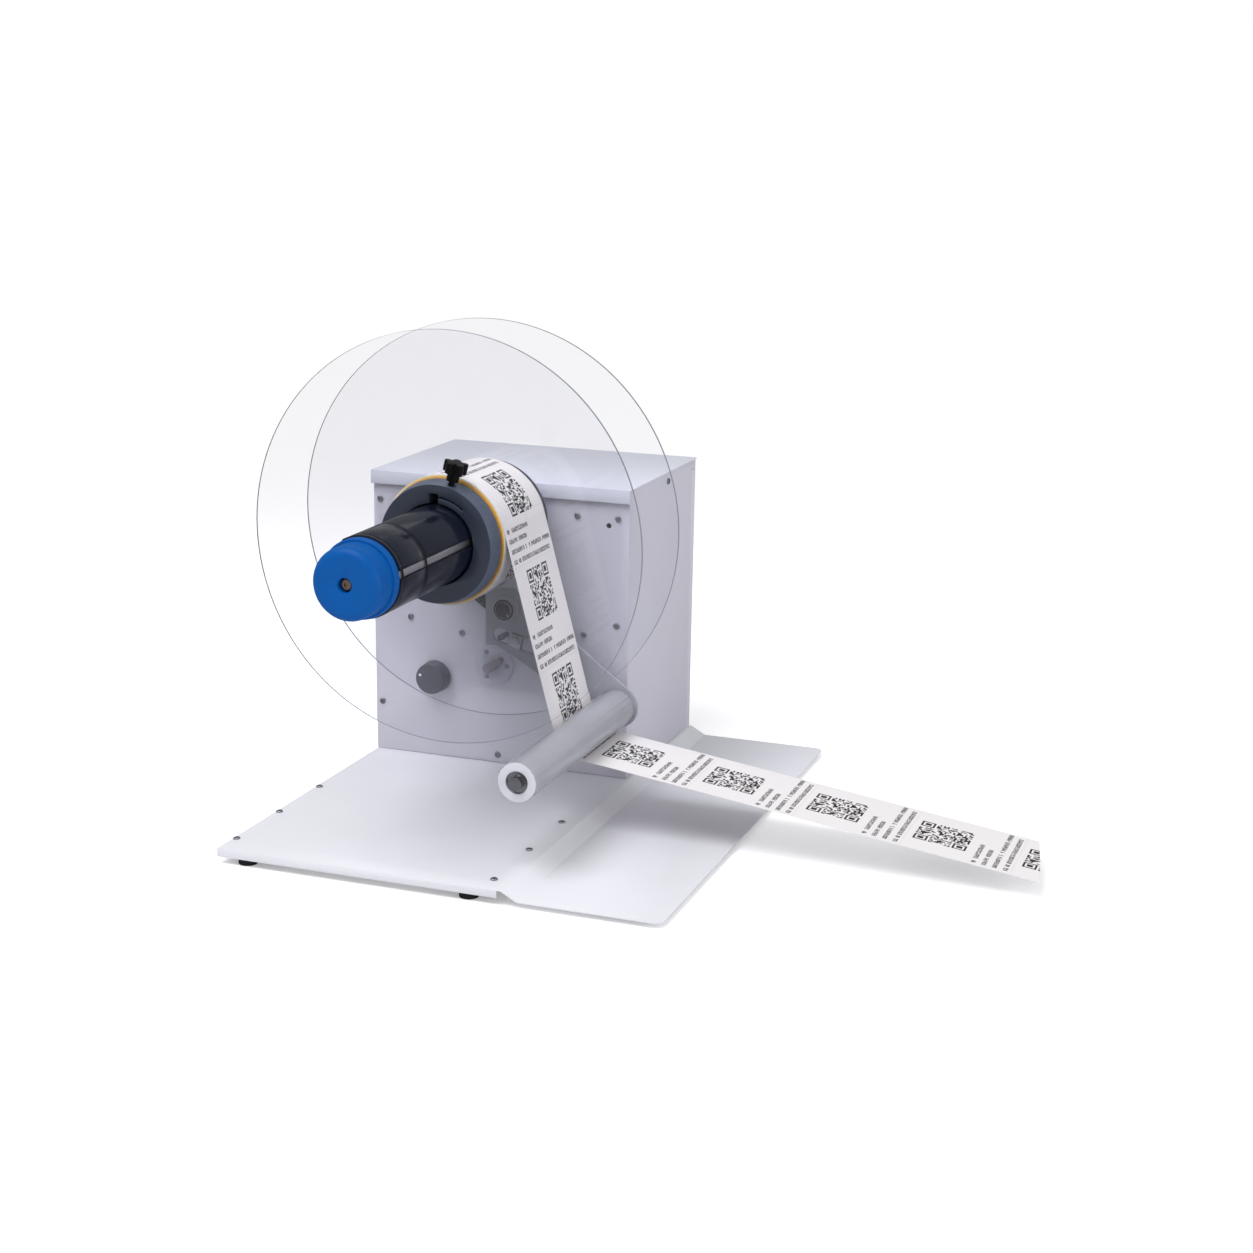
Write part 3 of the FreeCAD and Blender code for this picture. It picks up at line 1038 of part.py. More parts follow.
def make_mandrel():
    """Core with three bright bars, three shells, their rubber rings, the knob and its screw."""
    length = ("mandrel_front_y", MANDREL_BACK)
    inner = "core_tube_radius - core_tube_wall"
    tube = ring("CoreTube", inner, "core_tube_radius", SPINDLE, length)
    walls = [ring("CoreWall%d" % i, "shaft_radius", "core_tube_radius - core_tube_wall / 2", SPINDLE, y)
             for i, y in enumerate((("mandrel_front_y", "mandrel_front_y + core_end_thickness"),
                                    (MANDREL_BACK + " - core_end_thickness", MANDREL_BACK)))]
    bars = [bar("BrightBar%d" % i, SPINDLE, "bar_angle + %d" % turn,
                ("core_tube_radius - core_tube_wall / 2", "bar_radius"),
                "bar_width", length) for i, turn in enumerate((0, 120, 240))]
    node(fuse("MandrelCore", tube, *(walls + bars)), "mandrel_core")

    ring_places = ["%s + %s" % (SHELL_FRONT, offset)
                   for offset in ("first_ring_offset", "second_ring_offset")]
    half = "ring_wire_radius + ring_groove_margin"
    profile = [("shell_inner_radius", SHELL_FRONT), ("shell_radius", SHELL_FRONT)]
    for y in ring_places:
        profile += [("shell_radius", "%s - (%s)" % (y, half)),
                    ("ring_groove_radius", "%s - (%s)" % (y, half)),
                    ("ring_groove_radius", "%s + %s" % (y, half)), ("shell_radius", "%s + %s" % (y, half))]
    profile += [("shell_radius", SHELL_BACK), ("shell_inner_radius", SHELL_BACK)]
    reach = "2 * shell_radius"
    for i, turn in enumerate((0, 120, 240)):
        start = "bar_angle + %d" % turn
        wedge = slab("ShellWedge%d" % i, [
            polar(SPINDLE, "shell_gap / 2 / sin(60 * 1deg)", start + " + 60"),
            polar(SPINDLE, reach, start, "shell_gap / 2"),
            polar(SPINDLE, "2 * shell_radius", start + " + 60"),
            polar(SPINDLE, reach, start + " + 120", "-shell_gap / 2")], (SHELL_FRONT, SHELL_BACK))
        node(common("Shell%d" % i, turned("ShellTube%d" % i, profile, SPINDLE), wedge),
             "mandrel_shell_%d" % (i + 1))

    rings = []
    for i, y in enumerate(ring_places):
        torus = doc.addObject("Part::Torus", "RubberRing%d" % i)
        torus.Placement.Rotation = FreeCAD.Rotation(FreeCAD.Vector(1, 0, 0), -90)
        torus.setExpression("Radius1", expr("ring_groove_radius + ring_wire_radius + ring_groove_margin / 2"))
        torus.setExpression("Radius2", expr("ring_wire_radius"))
        rings.append(place(torus, SPINDLE[0], y, SPINDLE[1]))
    node(fuse("RubberRings", *rings), "mandrel_rings")

    knob = turned("Knob", [
        ("journal_radius + assembly_clearance / 2", KNOB_BACK), ("knob_rim_radius", KNOB_BACK),
        ("knob_rim_radius", KNOB_BACK + " - knob_rim_width"),
                           ("knob_radius", KNOB_BACK + " - knob_rim_width"),
        ("knob_radius", KNOB_FACE), ("knob_recess_radius", KNOB_FACE), ("knob_recess_radius", KNOB_FLOOR),
        ("journal_radius + assembly_clearance / 2", KNOB_FLOOR)], SPINDLE)
    face_end = SIZES["mandrel_front_y"] - SIZES["knob_length"]
    rounded(knob, "knob_edge_radius", lambda edge: edge.BoundBox.YMax < face_end
            and edge.BoundBox.XLength > SIZES["knob_radius"])
    rounded(knob, "knob_rim_rounding", lambda edge: edge.BoundBox.XLength
            > SIZES["knob_radius"] + SIZES["knob_rim_radius"])
    node(knob, "expander_knob")

    washer = ("%s - %s" % (KNOB_FLOOR, "pivot_cap_height"), KNOB_FLOOR)
    head = ("%s - knob_screw_head_height" % washer[0], washer[0])
    socket = slab("KnobSocket", [polar(SPINDLE, "knob_screw_socket", turn) for turn in range(0, 360, 60)],
                  (head[0], head[0] + " + knob_screw_head_height / 2"))
    node(cut("KnobScrew", fuse("KnobScrewBody", rod("KnobWasher", "knob_washer_radius", SPINDLE, washer),
                               rod("KnobScrewHead", "knob_screw_head_radius", SPINDLE, head),
                               rod("KnobScrewShank", "screw_radius", SPINDLE,
                                   (washer[0], KNOB_FLOOR + " + knob_screw_depth - panel_gap"))), socket),
         "knob_screw")


def make_flanges():
    """Rear hub and disc, wound roll on its core, front disc with its clamping hub."""
    bore = "shaft_radius"
    node(turned("RearHub", [
        (bore, MANDREL_BACK), ("rear_spigot_radius", MANDREL_BACK), ("rear_spigot_radius", REAR_HUB_FRONT),
        ("rear_hub_radius", REAR_HUB_FRONT), ("rear_hub_radius", REAR_HUB_BACK), (bore, REAR_HUB_BACK)],
                SPINDLE), "rear_hub")
    node(ring("RearDisc", "rear_spigot_radius + assembly_clearance / 2", "flange_radius", SPINDLE,
              ("rear_disc_y", REAR_HUB_FRONT)), "rear_disc")
    core = "shell_radius + core_clearance"
    node(ring("LabelCore", core, core + " + core_wall", SPINDLE, (ROLL_FRONT, ROLL_BACK)), "label_core")
    node(ring("LabelRoll", core + " + core_wall", "roll_radius", SPINDLE, (ROLL_FRONT, ROLL_BACK)),
         "label_roll")
    node(ring("FrontDisc", "hub_spigot_radius + assembly_clearance / 2", "flange_radius", SPINDLE,
              (DISC_FRONT, DISC_BACK)), "front_disc")

    straight = DISC_FRONT + " - hub_taper_depth"
    land = (HUB_FACE + " + hub_depth / 2", HUB_FACE + " + hub_depth / 2 + hub_land_width")
    blank = turned("HubBlank", [
        ("hub_land_radius", DISC_BACK), ("hub_spigot_radius", DISC_BACK), ("hub_spigot_radius", DISC_FRONT),
        ("hub_radius", DISC_FRONT), ("hub_radius", straight), ("hub_face_radius", HUB_FACE),
        ("hub_bore_radius", HUB_FACE), ("hub_bore_radius", DISC_BACK + " - hub_land_width"),
        ("hub_land_radius", DISC_BACK + " - hub_land_width")], SPINDLE)
    notch = box("HubNotch", ("spindle_x - notch_left", "spindle_x + notch_right"), (HUB_FACE, DISC_FRONT),
                ("spindle_z + shell_radius - core_wall", "spindle_z + notch_radius"))
    slot_ring = ring("JawRing", "jaw_slot_radius - jaw_slot_width / 2",
                     "jaw_slot_radius + jaw_slot_width / 2", SPINDLE,
                     (HUB_FACE, DISC_FRONT))
    wedge = slab("JawWedge", [(SPINDLE[0], SPINDLE[1]), polar(SPINDLE, "2 * hub_radius", "jaw_start_angle"),
                              polar(SPINDLE, "2 * hub_radius", "jaw_end_angle")], (HUB_FACE, DISC_FRONT))
    slot = common("JawSlot", slot_ring, wedge)
    screw_y = HUB_FACE + " + thumb_inset"
    tapped = spoke("ThumbHole", "thumb_thread_radius + running_clearance", SPINDLE, "thumb_angle",
                   ("jaw_slot_radius", "hub_radius + core_wall"), screw_y)
    pads = [bar("HubPad%d" % i, SPINDLE, "bar_angle + %d" % turn,
                ("hub_land_radius", "hub_bore_radius + core_wall"),
                "shell_gap", land) for i, turn in enumerate((60, 180, 300))]
    node(cut("FrontHub", fuse("HubBody", blank, *pads), notch, slot, tapped), "front_hub")

    seat = "hub_radius + thumb_bare_thread"
    top = seat + " + thumb_collar_height"
    pieces = [
        spoke("ThumbThread", "thumb_thread_radius", SPINDLE, "thumb_angle",
              ("jaw_slot_radius - panel_gap", top), screw_y),
        spoke("ThumbCollar", "thumb_collar_radius", SPINDLE, "thumb_angle", (seat, top), screw_y),
        spoke("ThumbHead", "thumb_head_radius", SPINDLE, "thumb_angle", (top, top + " + thumb_head_height"),
              screw_y),
    ]
    for i in range(5):
        turn = "%d" % (72 * i)
        side = "thumb_lobe_circle * cos(%s * 1deg)" % turn
        along = "%s + thumb_lobe_circle * sin(%s * 1deg)" % (screw_y, turn)
        lobe = spoke("ThumbLobe%d" % i, "thumb_lobe_radius", SPINDLE, "thumb_angle",
                     (top, top + " + thumb_head_height"), along)
        x, z = polar(SPINDLE, top, "thumb_angle", side)
        pieces.append(place(lobe, x, along, z))
    node(fuse("ThumbScrew", *pieces), "thumb_screw")


def make_dancer_bearings():
    """Housing on the panel, its two bearings and the angle sensor behind the panel."""
    node(ring("PivotHousing", "pivot_bearing_radius", "pivot_barrel_radius", PIVOT,
              ("-pivot_barrel_length", 0)),
         "pivot_housing")
    bore = "pivot_shaft_radius + running_clearance"
    back = "-pivot_bearing_gap / 2"
    starts = [back + " - pivot_bearing_width", back + " - 2 * pivot_bearing_width - pivot_bearing_gap"]
    node(fuse("PivotBearings", *[ring("PivotBearing%d" % i, bore, "pivot_bearing_radius", PIVOT,
                                      (y, y + " + pivot_bearing_width")) for i, y in enumerate(starts)]),
         "pivot_bearings")
    node(cut("AngleSensor", block("SensorBody", PIVOT, "sensor_size", "sensor_size",
                                  ("panel_thickness", "panel_thickness + sensor_depth")),
             rod("SensorBore", bore, PIVOT, ("panel_thickness",
                                             "panel_thickness + sensor_shaft_depth + panel_gap"))),
         "angle_sensor")


def arm_point(x, z):
    """Point of the arm plate, from its pivot."""
    return "pivot_x + (%s)" % x, "pivot_z + (%s)" % z


def tangent_point(start, sense):
    """Where a line from a corner of the arm meets the round end of its plate."""
    away = "atan2((%s) - (%s); (%s) - (%s)) / 1deg" % (start[1], ROLLER_Z, start[0], ROLLER_X)
    reach = "hypot((%s) - (%s); (%s) - (%s))" % (start[0], ROLLER_X, start[1], ROLLER_Z)
    return polar(ROLLER, "arm_end_radius", "%s %s acos(arm_end_radius / %s) / 1deg" % (away, sense, reach))


SLOT_SLOPE = "atan2(slot_end_z - slot_start_z; slot_end_x - slot_start_x) / 1deg"
STOP = polar(("slot_start_x", "slot_start_z"), "stop_reach", SLOT_SLOPE)
STOP_REACH = "hypot(%s; %s)" % STOP


def make_dancer():
    """Arm with its shaft, cap, stop and limit posts."""
    y = ("arm_y", ARM_BACK)
    high_right = arm_point("arm_high_right", "arm_high")
    knee = arm_point("arm_knee_x", "-arm_knee_drop")
    plate = slab("ArmPlate", [
        high_right, arm_point("-arm_high_left", "arm_high"), arm_point("-arm_left", "arm_left_high"),
        arm_point("-arm_left", "-arm_low"), arm_point("-arm_low_inner", "-arm_low"), knee,
        tangent_point(knee, "+"), tangent_point(high_right, "-")], y)
    end = rod("ArmEnd", "arm_end_radius", ROLLER, y)
    boss = rod("ArmBoss", "pivot_boss_radius", PIVOT,
               ("arm_y - pivot_boss_height", ARM_BACK + " + pivot_boss_back"))
    pin_spot = arm_point("spring_pin_x", "spring_pin_z")
    pin = fuse("ArmPinShape", rod("ArmPin", "spring_pin_radius", pin_spot,
                                  (ARM_BACK, "spring_y + spring_radius")),
               rod("ArmPinFoot", "spring_pin_radius + spring_wire_radius", pin_spot,
                   (ARM_BACK, "spring_y - spring_radius")))
    slot = hull("ArmSlot", arm_point("slot_start_x", "slot_start_z"), "slot_half_width",
                arm_point("slot_end_x", "slot_end_z"), "slot_half_width", y)
    node(cut("DancerArm", fuse("ArmSolid", plate, end, boss, pin), slot,
             rod("ArmBore", "pivot_shaft_radius", PIVOT, ("arm_y - pivot_boss_height", "0")),
             rod("ArmShaftHole", "roller_thread_radius + running_clearance", ROLLER, y)), "dancer_arm")
    node(rod("PivotShaft", "pivot_shaft_radius", PIVOT,
             ("arm_y - pivot_boss_height", "panel_thickness + sensor_shaft_depth")), "pivot_shaft")
    front = "arm_y - pivot_boss_height"
    steps = ["pivot_cap_radius", "pivot_washer_radius", "pivot_head_radius"]
    node(fuse("PivotCap", *[rod("PivotCap%d" % i, radius, PIVOT,
                                ("%s - %d * pivot_cap_height" % (front, i + 1), front))
                            for i, radius in enumerate(steps)]), "pivot_cap")

    stop = arm_point(*STOP)
    face = "arm_y - stop_block_rise"
    node(fuse("StopBolt", bar("StopBlock", stop, SLOT_SLOPE, ("-stop_block_size / 2", "stop_block_size / 2"),
                              "stop_block_size", (face, ARM_BACK)),
              rod("StopNut", "stop_nut_radius", stop, (face + " - stop_nut_height", face)),
              rod("StopFlange", "stop_flange_radius", stop, (ARM_BACK, ARM_BACK + " + stop_flange_height")),
              rod("StopPin", "stop_pin_radius", stop, (ARM_BACK, "stop_pin_end_y"))), "stop_bolt")
    rest = "atan2(%s; %s) / 1deg" % (STOP[1], STOP[0])
    apart = "2 * asin((stop_pin_radius + post_radius + post_clearance) / 2 / %s) / 1deg" % STOP_REACH
    posts = [rod("LimitPost%d" % i, "post_radius", polar(PIVOT, STOP_REACH, angle), ("-post_length", 0))
             for i, angle in enumerate(("%s + lift_angle + %s" % (rest, apart),
                                        "%s - drop_angle - %s" % (rest, apart)))]
    node(fuse("LimitPosts", *posts), "limit_posts")


def make_roller():
    """Guide roller with its shaft, clip and bearings."""
    collar = "arm_y - roller_collar_width"
    nut = (ARM_BACK, ARM_BACK + " + roller_nut_width")
    clip_back = "roller_front_y + roller_bearing_inset"
    groove = (clip_back + " - clip_width", clip_back)
    shaft = turned("RollerShaftRod", [
        (0, "roller_shaft_front_y"), ("roller_shaft_radius", "roller_shaft_front_y"),
                                      ("roller_shaft_radius", groove[0]),
        ("clip_groove_radius", groove[0]), ("clip_groove_radius", groove[1]),
                                      ("roller_shaft_radius", groove[1]),
        ("roller_shaft_radius", collar), ("roller_collar_radius", collar), ("roller_collar_radius", "arm_y"),
        ("roller_thread_radius", "arm_y"), ("roller_thread_radius", nut[1]), (0, nut[1])], ROLLER)
    hexagon = slab("RollerNutBlock", [polar(ROLLER, "roller_collar_radius", turn)
                                      for turn in range(0, 360, 60)], nut)
    bore = rod("RollerNutBore", "roller_thread_radius + running_clearance", ROLLER, nut)
    node(fuse("RollerShaft", shaft, cut("RollerNut", hexagon, bore)), "roller_shaft")

    blank = ring("ClipRing", "clip_groove_radius + running_clearance", "clip_radius", ROLLER,
                 (groove[0] + " + running_clearance", groove[1] + " - running_clearance"))
    mouth = box("ClipMouth", ("%s - clip_mouth" % ROLLER_X, "%s + clip_mouth" % ROLLER_X), groove,
                ("%s - clip_radius" % ROLLER_Z, ROLLER_Z))
    node(cut("RollerClip", blank, mouth), "roller_clip")

    first = ("roller_front_y + roller_bearing_inset",
             "roller_front_y + roller_bearing_inset + roller_bearing_width")
    last = (ROLLER_BACK + " - roller_bearing_width - panel_gap", ROLLER_BACK + " - panel_gap")
    tube = turned("GuideRoller", [
        ("roller_bore_radius", "roller_front_y"), ("roller_radius", "roller_front_y"),
                                  ("roller_radius", ROLLER_BACK),
        ("roller_bore_radius", ROLLER_BACK)], ROLLER)
    rounded(tube, "roller_edge_rounding", lambda edge: edge.BoundBox.XLength
            > SIZES["roller_radius"] + SIZES["roller_bore_radius"])
    node(tube, "guide_roller")
    bore = "roller_shaft_radius + running_clearance"
    node(fuse("RollerBearings", *[ring("RollerBearing%d" % i, bore, "roller_bore_radius", ROLLER, y)
                                  for i, y in enumerate((first, last))]), "roller_bearings")


def make_spring():
    """Extension spring with its two end loops, and the post that holds its fixed end."""
    post = ("spring_post_x", "spring_post_z")
    node(fuse("SpringPost", rod("PostRod", "spring_pin_radius", post, ("-spring_post_length", 0)),
              rod("PostHead", "spring_pin_radius + 2 * spring_wire_radius", post,
                  ("-spring_post_length - spring_wire_radius", "-spring_post_length")),
              rod("PostFoot", "spring_pin_radius + 2 * spring_wire_radius", post,
                  ("-spring_wire_radius", 0))), "spring_post")
    pin = arm_point("spring_pin_x", "spring_pin_z")
    across = "(%s) - spring_post_x" % pin[0]
    rise = "(%s) - spring_post_z" % pin[1]
    slope = "atan2(%s; %s) / 1deg" % (rise, across)
    whole = "hypot(%s; %s)" % (across, rise)
    hook = "spring_radius - spring_wire_radius - spring_pin_radius - spring_pin_gap"

    lift = "spring_wire_radius / 2"
    helix = doc.addObject("Part::Helix", "SpringLine")
    helix.setExpression("Radius", expr("spring_radius"))
    helix.setExpression("Height", expr("%s - 2 * (%s + %s)" % (whole, hook, lift)))
    helix.setExpression("Pitch", "SpringLine.Height / Sizes.spring_turns")
    wire = doc.addObject("Part::Circle", "SpringWire")
    wire.setExpression("Radius", expr("spring_wire_radius"))
    wire.Placement.Rotation = FreeCAD.Rotation(FreeCAD.Vector(1, 0, 0), 90)
    wire.setExpression("Placement.Base.x", expr("spring_radius"))
    coil = doc.addObject("Part::Sweep", "SpringCoil")
    coil.Sections = [wire]
    coil.Spine = (helix, ["Edge1"])
    coil.Solid = True
    coil.Frenet = True
    ends = []
    for i, (turn, end, height) in enumerate(((-90, "0", "-" + lift), (90, "SpringLine.Height / 1mm", lift))):
        loop = doc.addObject("Part::Torus", "SpringLoop%d" % i)
        loop.setExpression("Radius1", expr("spring_radius"))
        loop.setExpression("Radius2", expr("spring_wire_radius"))
        loop.setExpression("Angle3", expr("spring_loop_angle"))
        loop.Placement.Rotation = FreeCAD.Rotation(FreeCAD.Vector(1, 0, 0), turn)
        loop.setExpression("Placement.Base.z", end + " + " + expr(height))
        bend = doc.addObject("Part::Sphere", "SpringBend%d" % i)
        bend.setExpression("Radius", expr("spring_wire_radius + spring_bend_swell"))
        bend.setExpression("Placement.Base.x", expr("spring_radius"))
        bend.setExpression("Placement.Base.z", end)
        ends += [loop, bend]
    spring = fuse("DancerSpring", coil, *ends)
    spring.Refine = False
    spring.Placement.Rotation = FreeCAD.Rotation(FreeCAD.Vector(0, 1, 0), 45)
    spring.setExpression("Placement.Rotation.Angle", expr("(90 - %s) * 1deg" % slope))
    start = polar(post, "%s + %s" % (hook, lift), slope)
    node(place(spring, start[0], "spring_y", start[1]), "dancer_spring")


def selector_screw_places():
    """Three screws round the selector's plate."""
    return [polar(("selector_x", "selector_z"), "selector_screw_circle", turn) for turn in (0, 120, 240)]


def make_controls():
    """Speed control and mode selector."""
    speed = ("speed_x", "speed_z")
    back = "-control_gap"
    shaft_end = "panel_thickness + control_shaft_depth"
    bore = "control_shaft_radius + running_clearance"
    front = "-control_gap / 2"
    node(cut("SpeedPot", fuse("PotBody", rod("PotCan", "pot_radius", speed,
                                             ("panel_thickness", "panel_thickness + pot_depth")),
                              rod("PotBush", "control_bush_radius", speed, (front, "panel_thickness"))),
             rod("PotBore", bore, speed, (front, shaft_end + " + panel_gap"))), "speed_pot")
    face = back + " - speed_knob_depth"
    node(turned("SpeedKnob", [
        (0, face), ("speed_knob_radius - speed_knob_taper", face), ("speed_knob_radius", back),
        ("control_shaft_radius", back), ("control_shaft_radius", shaft_end), (0, shaft_end)], speed),
         "speed_knob")

    selector = ("selector_x", "selector_z")
    plate = ("-selector_plate_thickness", 0)
    screw_hole = "selector_screw_radius + screw_clearance"
    spots = selector_screw_places()
    node(cut("SelectorPlate", rod("SelectorDisc", "selector_plate_radius", selector, plate),
             rod("SelectorDiscHole", "control_bush_radius + assembly_clearance", selector, plate),
             *[rod("SelectorDiscScrew%d" % i, screw_hole, spot, plate) for i, spot in enumerate(spots)]),
         "selector_plate")
    node(fuse("SelectorScrews", *[screw("SelectorScrew%d" % i, spot, "-selector_plate_thickness", 1,
                                        "selector_screw_head",
                                        "selector_head_height", "selector_screw_radius",
                                        "selector_screw_depth")
                                  for i, spot in enumerate(spots)]), "selector_screws")
    case = ("panel_thickness", "panel_thickness + selector_body_depth")
    node(cut("SelectorSwitch", fuse("SwitchBody",
                                    block("SwitchCase", selector, "selector_body_size", "selector_body_size",
                                          case),
                                    rod("SwitchBush", "control_bush_radius", selector,
                                        (plate[0], "panel_thickness"))),
             rod("SwitchBore", bore, selector, (plate[0], shaft_end + " + panel_gap")),
             *[rod("SwitchScrewHole%d" % i, screw_hole, spot,
                   ("panel_thickness", "panel_thickness + selector_screw_depth"))
               for i, spot in enumerate(spots)]), "selector_switch")
    low = "-selector_plate_thickness - control_gap - selector_head_height"
    pointer = hull("SelectorPointer", polar(selector, "-selector_tail", "selector_angle"),
                   "selector_tail_radius",
                   polar(selector, "selector_reach", "selector_angle"), "selector_tip_radius",
                   ("-selector_plate_thickness - selector_knob_height", low))
    node(fuse("SelectorKnob", pointer, rod("SelectorStem", "control_shaft_radius", selector,
                                           (low, shaft_end))),
         "selector_knob")


def make_web():
    """Label web: off the roll, round the left and the underside of the roller, and out to the right."""
    droop = math.radians(SIZES["arm_droop"])
    roller = FreeCAD.Vector(SIZES["pivot_x"] + SIZES["arm_length"] * math.cos(droop), 0,
                            SIZES["pivot_z"] - SIZES["arm_length"] * math.sin(droop))
    spindle = FreeCAD.Vector(SIZES["spindle_x"], 0, SIZES["spindle_z"])
    back = SIZES["rear_disc_y"] - SIZES["label_side_gap"]
    fall = math.radians(SIZES["web_fall"])
    forward = FreeCAD.Vector(math.cos(fall), 0, -math.sin(fall))
    down = FreeCAD.Vector(-math.sin(fall), 0, -math.cos(fall))

    def side(offset):
        """Path of one face of the web, given its distance from the roll's and the roller's surface."""
        roll_radius = SIZES["roll_radius"] + SIZES["web_gap"] + SIZES["web_thickness"] - offset
        roller_radius = SIZES["roller_radius"] + SIZES["web_gap"] + offset
        apart = roller - spindle
        lean = math.atan2(apart.z, apart.x) + math.acos((roll_radius + roller_radius) / apart.Length)
        normal = FreeCAD.Vector(math.cos(lean), 0, math.sin(lean))
        leave = spindle + normal * roll_radius
        meet = roller - normal * roller_radius
        part = roller + down * roller_radius
        middle = (down - normal).normalize()
        reach = (SIZES["web_front_end_x"] - part.x) / forward.x
        return [leave, meet, roller + middle * roller_radius, part, part + forward * reach]

    upper = side(0)
    lower = side(SIZES["web_thickness"])
    edges = [
        Part.LineSegment(upper[0], upper[1]), Part.Arc(upper[1], upper[2], upper[3]),
             Part.LineSegment(upper[3], upper[4]),
        Part.LineSegment(upper[4], lower[4]), Part.LineSegment(lower[4], lower[3]),
             Part.Arc(lower[3], lower[2], lower[1]),
        Part.LineSegment(lower[1], lower[0]), Part.LineSegment(lower[0], upper[0])]
    profile = Part.Face(Part.Wire([edge.toShape() for edge in edges]))
    profile.translate(FreeCAD.Vector(0, back, 0))
    strip = profile.extrude(FreeCAD.Vector(0, -SIZES["label_width"], 0))
    front = back - SIZES["label_width"]
    high = SIZES["cover_top_z"]
    beyond = SIZES["web_front_end_x"] + SIZES["label_width"]
    corners = [(SIZES["web_front_end_x"], front), (SIZES["web_rear_end_x"], back), (beyond, back),
               (beyond, front)]
    waste = Part.Face(Part.makePolygon([FreeCAD.Vector(x, y, 0) for x, y in corners + corners[:1]]))
    strip = strip.cut(waste.extrude(FreeCAD.Vector(0, 0, high)))
    web = doc.addObject("Part::Feature", "LabelWeb")
    web.Shape = strip.Solids[0]
    node(web, "label_web")


def check_and_write():
    """Recompute, test every object and write one file for each finished piece."""
    doc.recompute()
    for item in doc.Objects:
        if "Invalid" in item.State or "Error" in item.State:
            raise RuntimeError("%s: %s" % (item.Name, item.State))
    os.makedirs("parts", exist_ok=True)
    for item in NODES:
        shape = item.Shape
        if shape.isNull() or not shape.isValid() or not shape.Solids:
            raise RuntimeError("%s has no valid solid" % item.Label)
    for item in NODES:
        item.Shape.exportStep("parts/%s.step" % item.Label)
        print("%-20s %2d solids %10.1f mm3" % (item.Label, len(item.Shape.Solids), item.Shape.Volume))
    print(len(NODES), "nodes")


fill_sheet()
make_base()
make_front_panel()
make_sides()
make_top_cover()
make_rear_cover()
make_casing_screws()
make_spindle_bearings()
make_spindle()
make_drive()
make_electronics()
make_mandrel()
make_flanges()
make_dancer_bearings()
make_dancer()
make_roller()
make_spring()
make_controls()
make_web()
check_and_write()
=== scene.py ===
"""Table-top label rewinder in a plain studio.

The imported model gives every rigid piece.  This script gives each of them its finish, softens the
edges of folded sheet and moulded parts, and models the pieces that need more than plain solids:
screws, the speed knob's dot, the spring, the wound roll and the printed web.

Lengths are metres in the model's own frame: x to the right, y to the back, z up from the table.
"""
import json
import logging
import math
from abc import ABC, abstractmethod
from collections.abc import Callable, Sequence
from dataclasses import dataclass, field
from enum import Enum

import bpy
from mathutils import Matrix, Vector


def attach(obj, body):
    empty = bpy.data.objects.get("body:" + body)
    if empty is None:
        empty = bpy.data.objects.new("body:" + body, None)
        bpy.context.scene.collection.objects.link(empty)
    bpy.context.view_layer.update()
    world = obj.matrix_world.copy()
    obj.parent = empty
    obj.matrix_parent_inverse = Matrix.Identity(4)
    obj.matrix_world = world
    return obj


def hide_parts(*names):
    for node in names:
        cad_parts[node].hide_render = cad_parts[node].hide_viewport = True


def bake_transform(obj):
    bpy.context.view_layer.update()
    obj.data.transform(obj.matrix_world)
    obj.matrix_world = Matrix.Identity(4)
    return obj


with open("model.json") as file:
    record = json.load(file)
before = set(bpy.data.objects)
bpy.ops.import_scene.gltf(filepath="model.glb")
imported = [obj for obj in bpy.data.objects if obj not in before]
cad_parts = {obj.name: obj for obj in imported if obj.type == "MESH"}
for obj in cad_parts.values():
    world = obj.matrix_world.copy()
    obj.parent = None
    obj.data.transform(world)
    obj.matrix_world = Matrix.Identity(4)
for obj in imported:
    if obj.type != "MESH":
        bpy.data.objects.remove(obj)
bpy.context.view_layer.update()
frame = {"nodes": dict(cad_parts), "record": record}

MM = 0.001
# Where the front panel's lower left corner lies in the model's frame, in millimetres.
PANEL_LEFT = -334.05
PANEL_FRONT = 70.55
# Axes that run from front to back: x, then z, in millimetres from that corner.
SPINDLE = (143.4, 280.0)
PIVOT = (157.5, 187.7)
ROLLER = (278.0795, 98.4757)

# Short names for types of Blender's.
Tree = bpy.types.NodeTree
Node = bpy.types.Node
Socket = bpy.types.NodeSocket
Piece = bpy.types.Object
FaceTest = Callable[[Vector, Vector], bool]

log = logging.getLogger("rewinder")


def row(x: float, y: float, z: float) -> Vector:
    """Point given in millimetres from the front panel's lower left corner on the table.

    Args:
        x: to the right of the panel's left edge.
        y: behind the panel's front face.
        z: above the table.

    Returns:
        The same point in the model's frame, in metres.
    """
    return Vector((x + PANEL_LEFT, y + PANEL_FRONT, z)) * MM


def off_axis(point: Vector, axis: tuple[float, float]) -> float:
    """Distance of a point from one of the axes, in metres."""
    centre = row(axis[0], 0, axis[1])
    return math.hypot(point.x - centre.x, point.z - centre.z)


def angle_about(point: Vector, axis: tuple[float, float]) -> float:
    """Direction of a point seen from one of the axes, in radians from x towards z."""
    centre = row(axis[0], 0, axis[1])
    return math.atan2(point.z - centre.z, point.x - centre.x)


# Finishes


def linear(colour: str) -> tuple[float, float, float, float]:
    """Linear RGBA of an sRGB colour written as #rrggbb.

    Args:
        colour: the colour as it is seen on a screen.

    Returns:
        The four channels that a shader socket takes.
    """
    parts = [int(colour[i:i + 2], 16) / 255 for i in (1, 3, 5)]
    red, green, blue = (p / 12.92 if p <= 0.04045 else ((p + 0.055) / 1.055) ** 2.4 for p in parts)
    return red, green, blue, 1.0


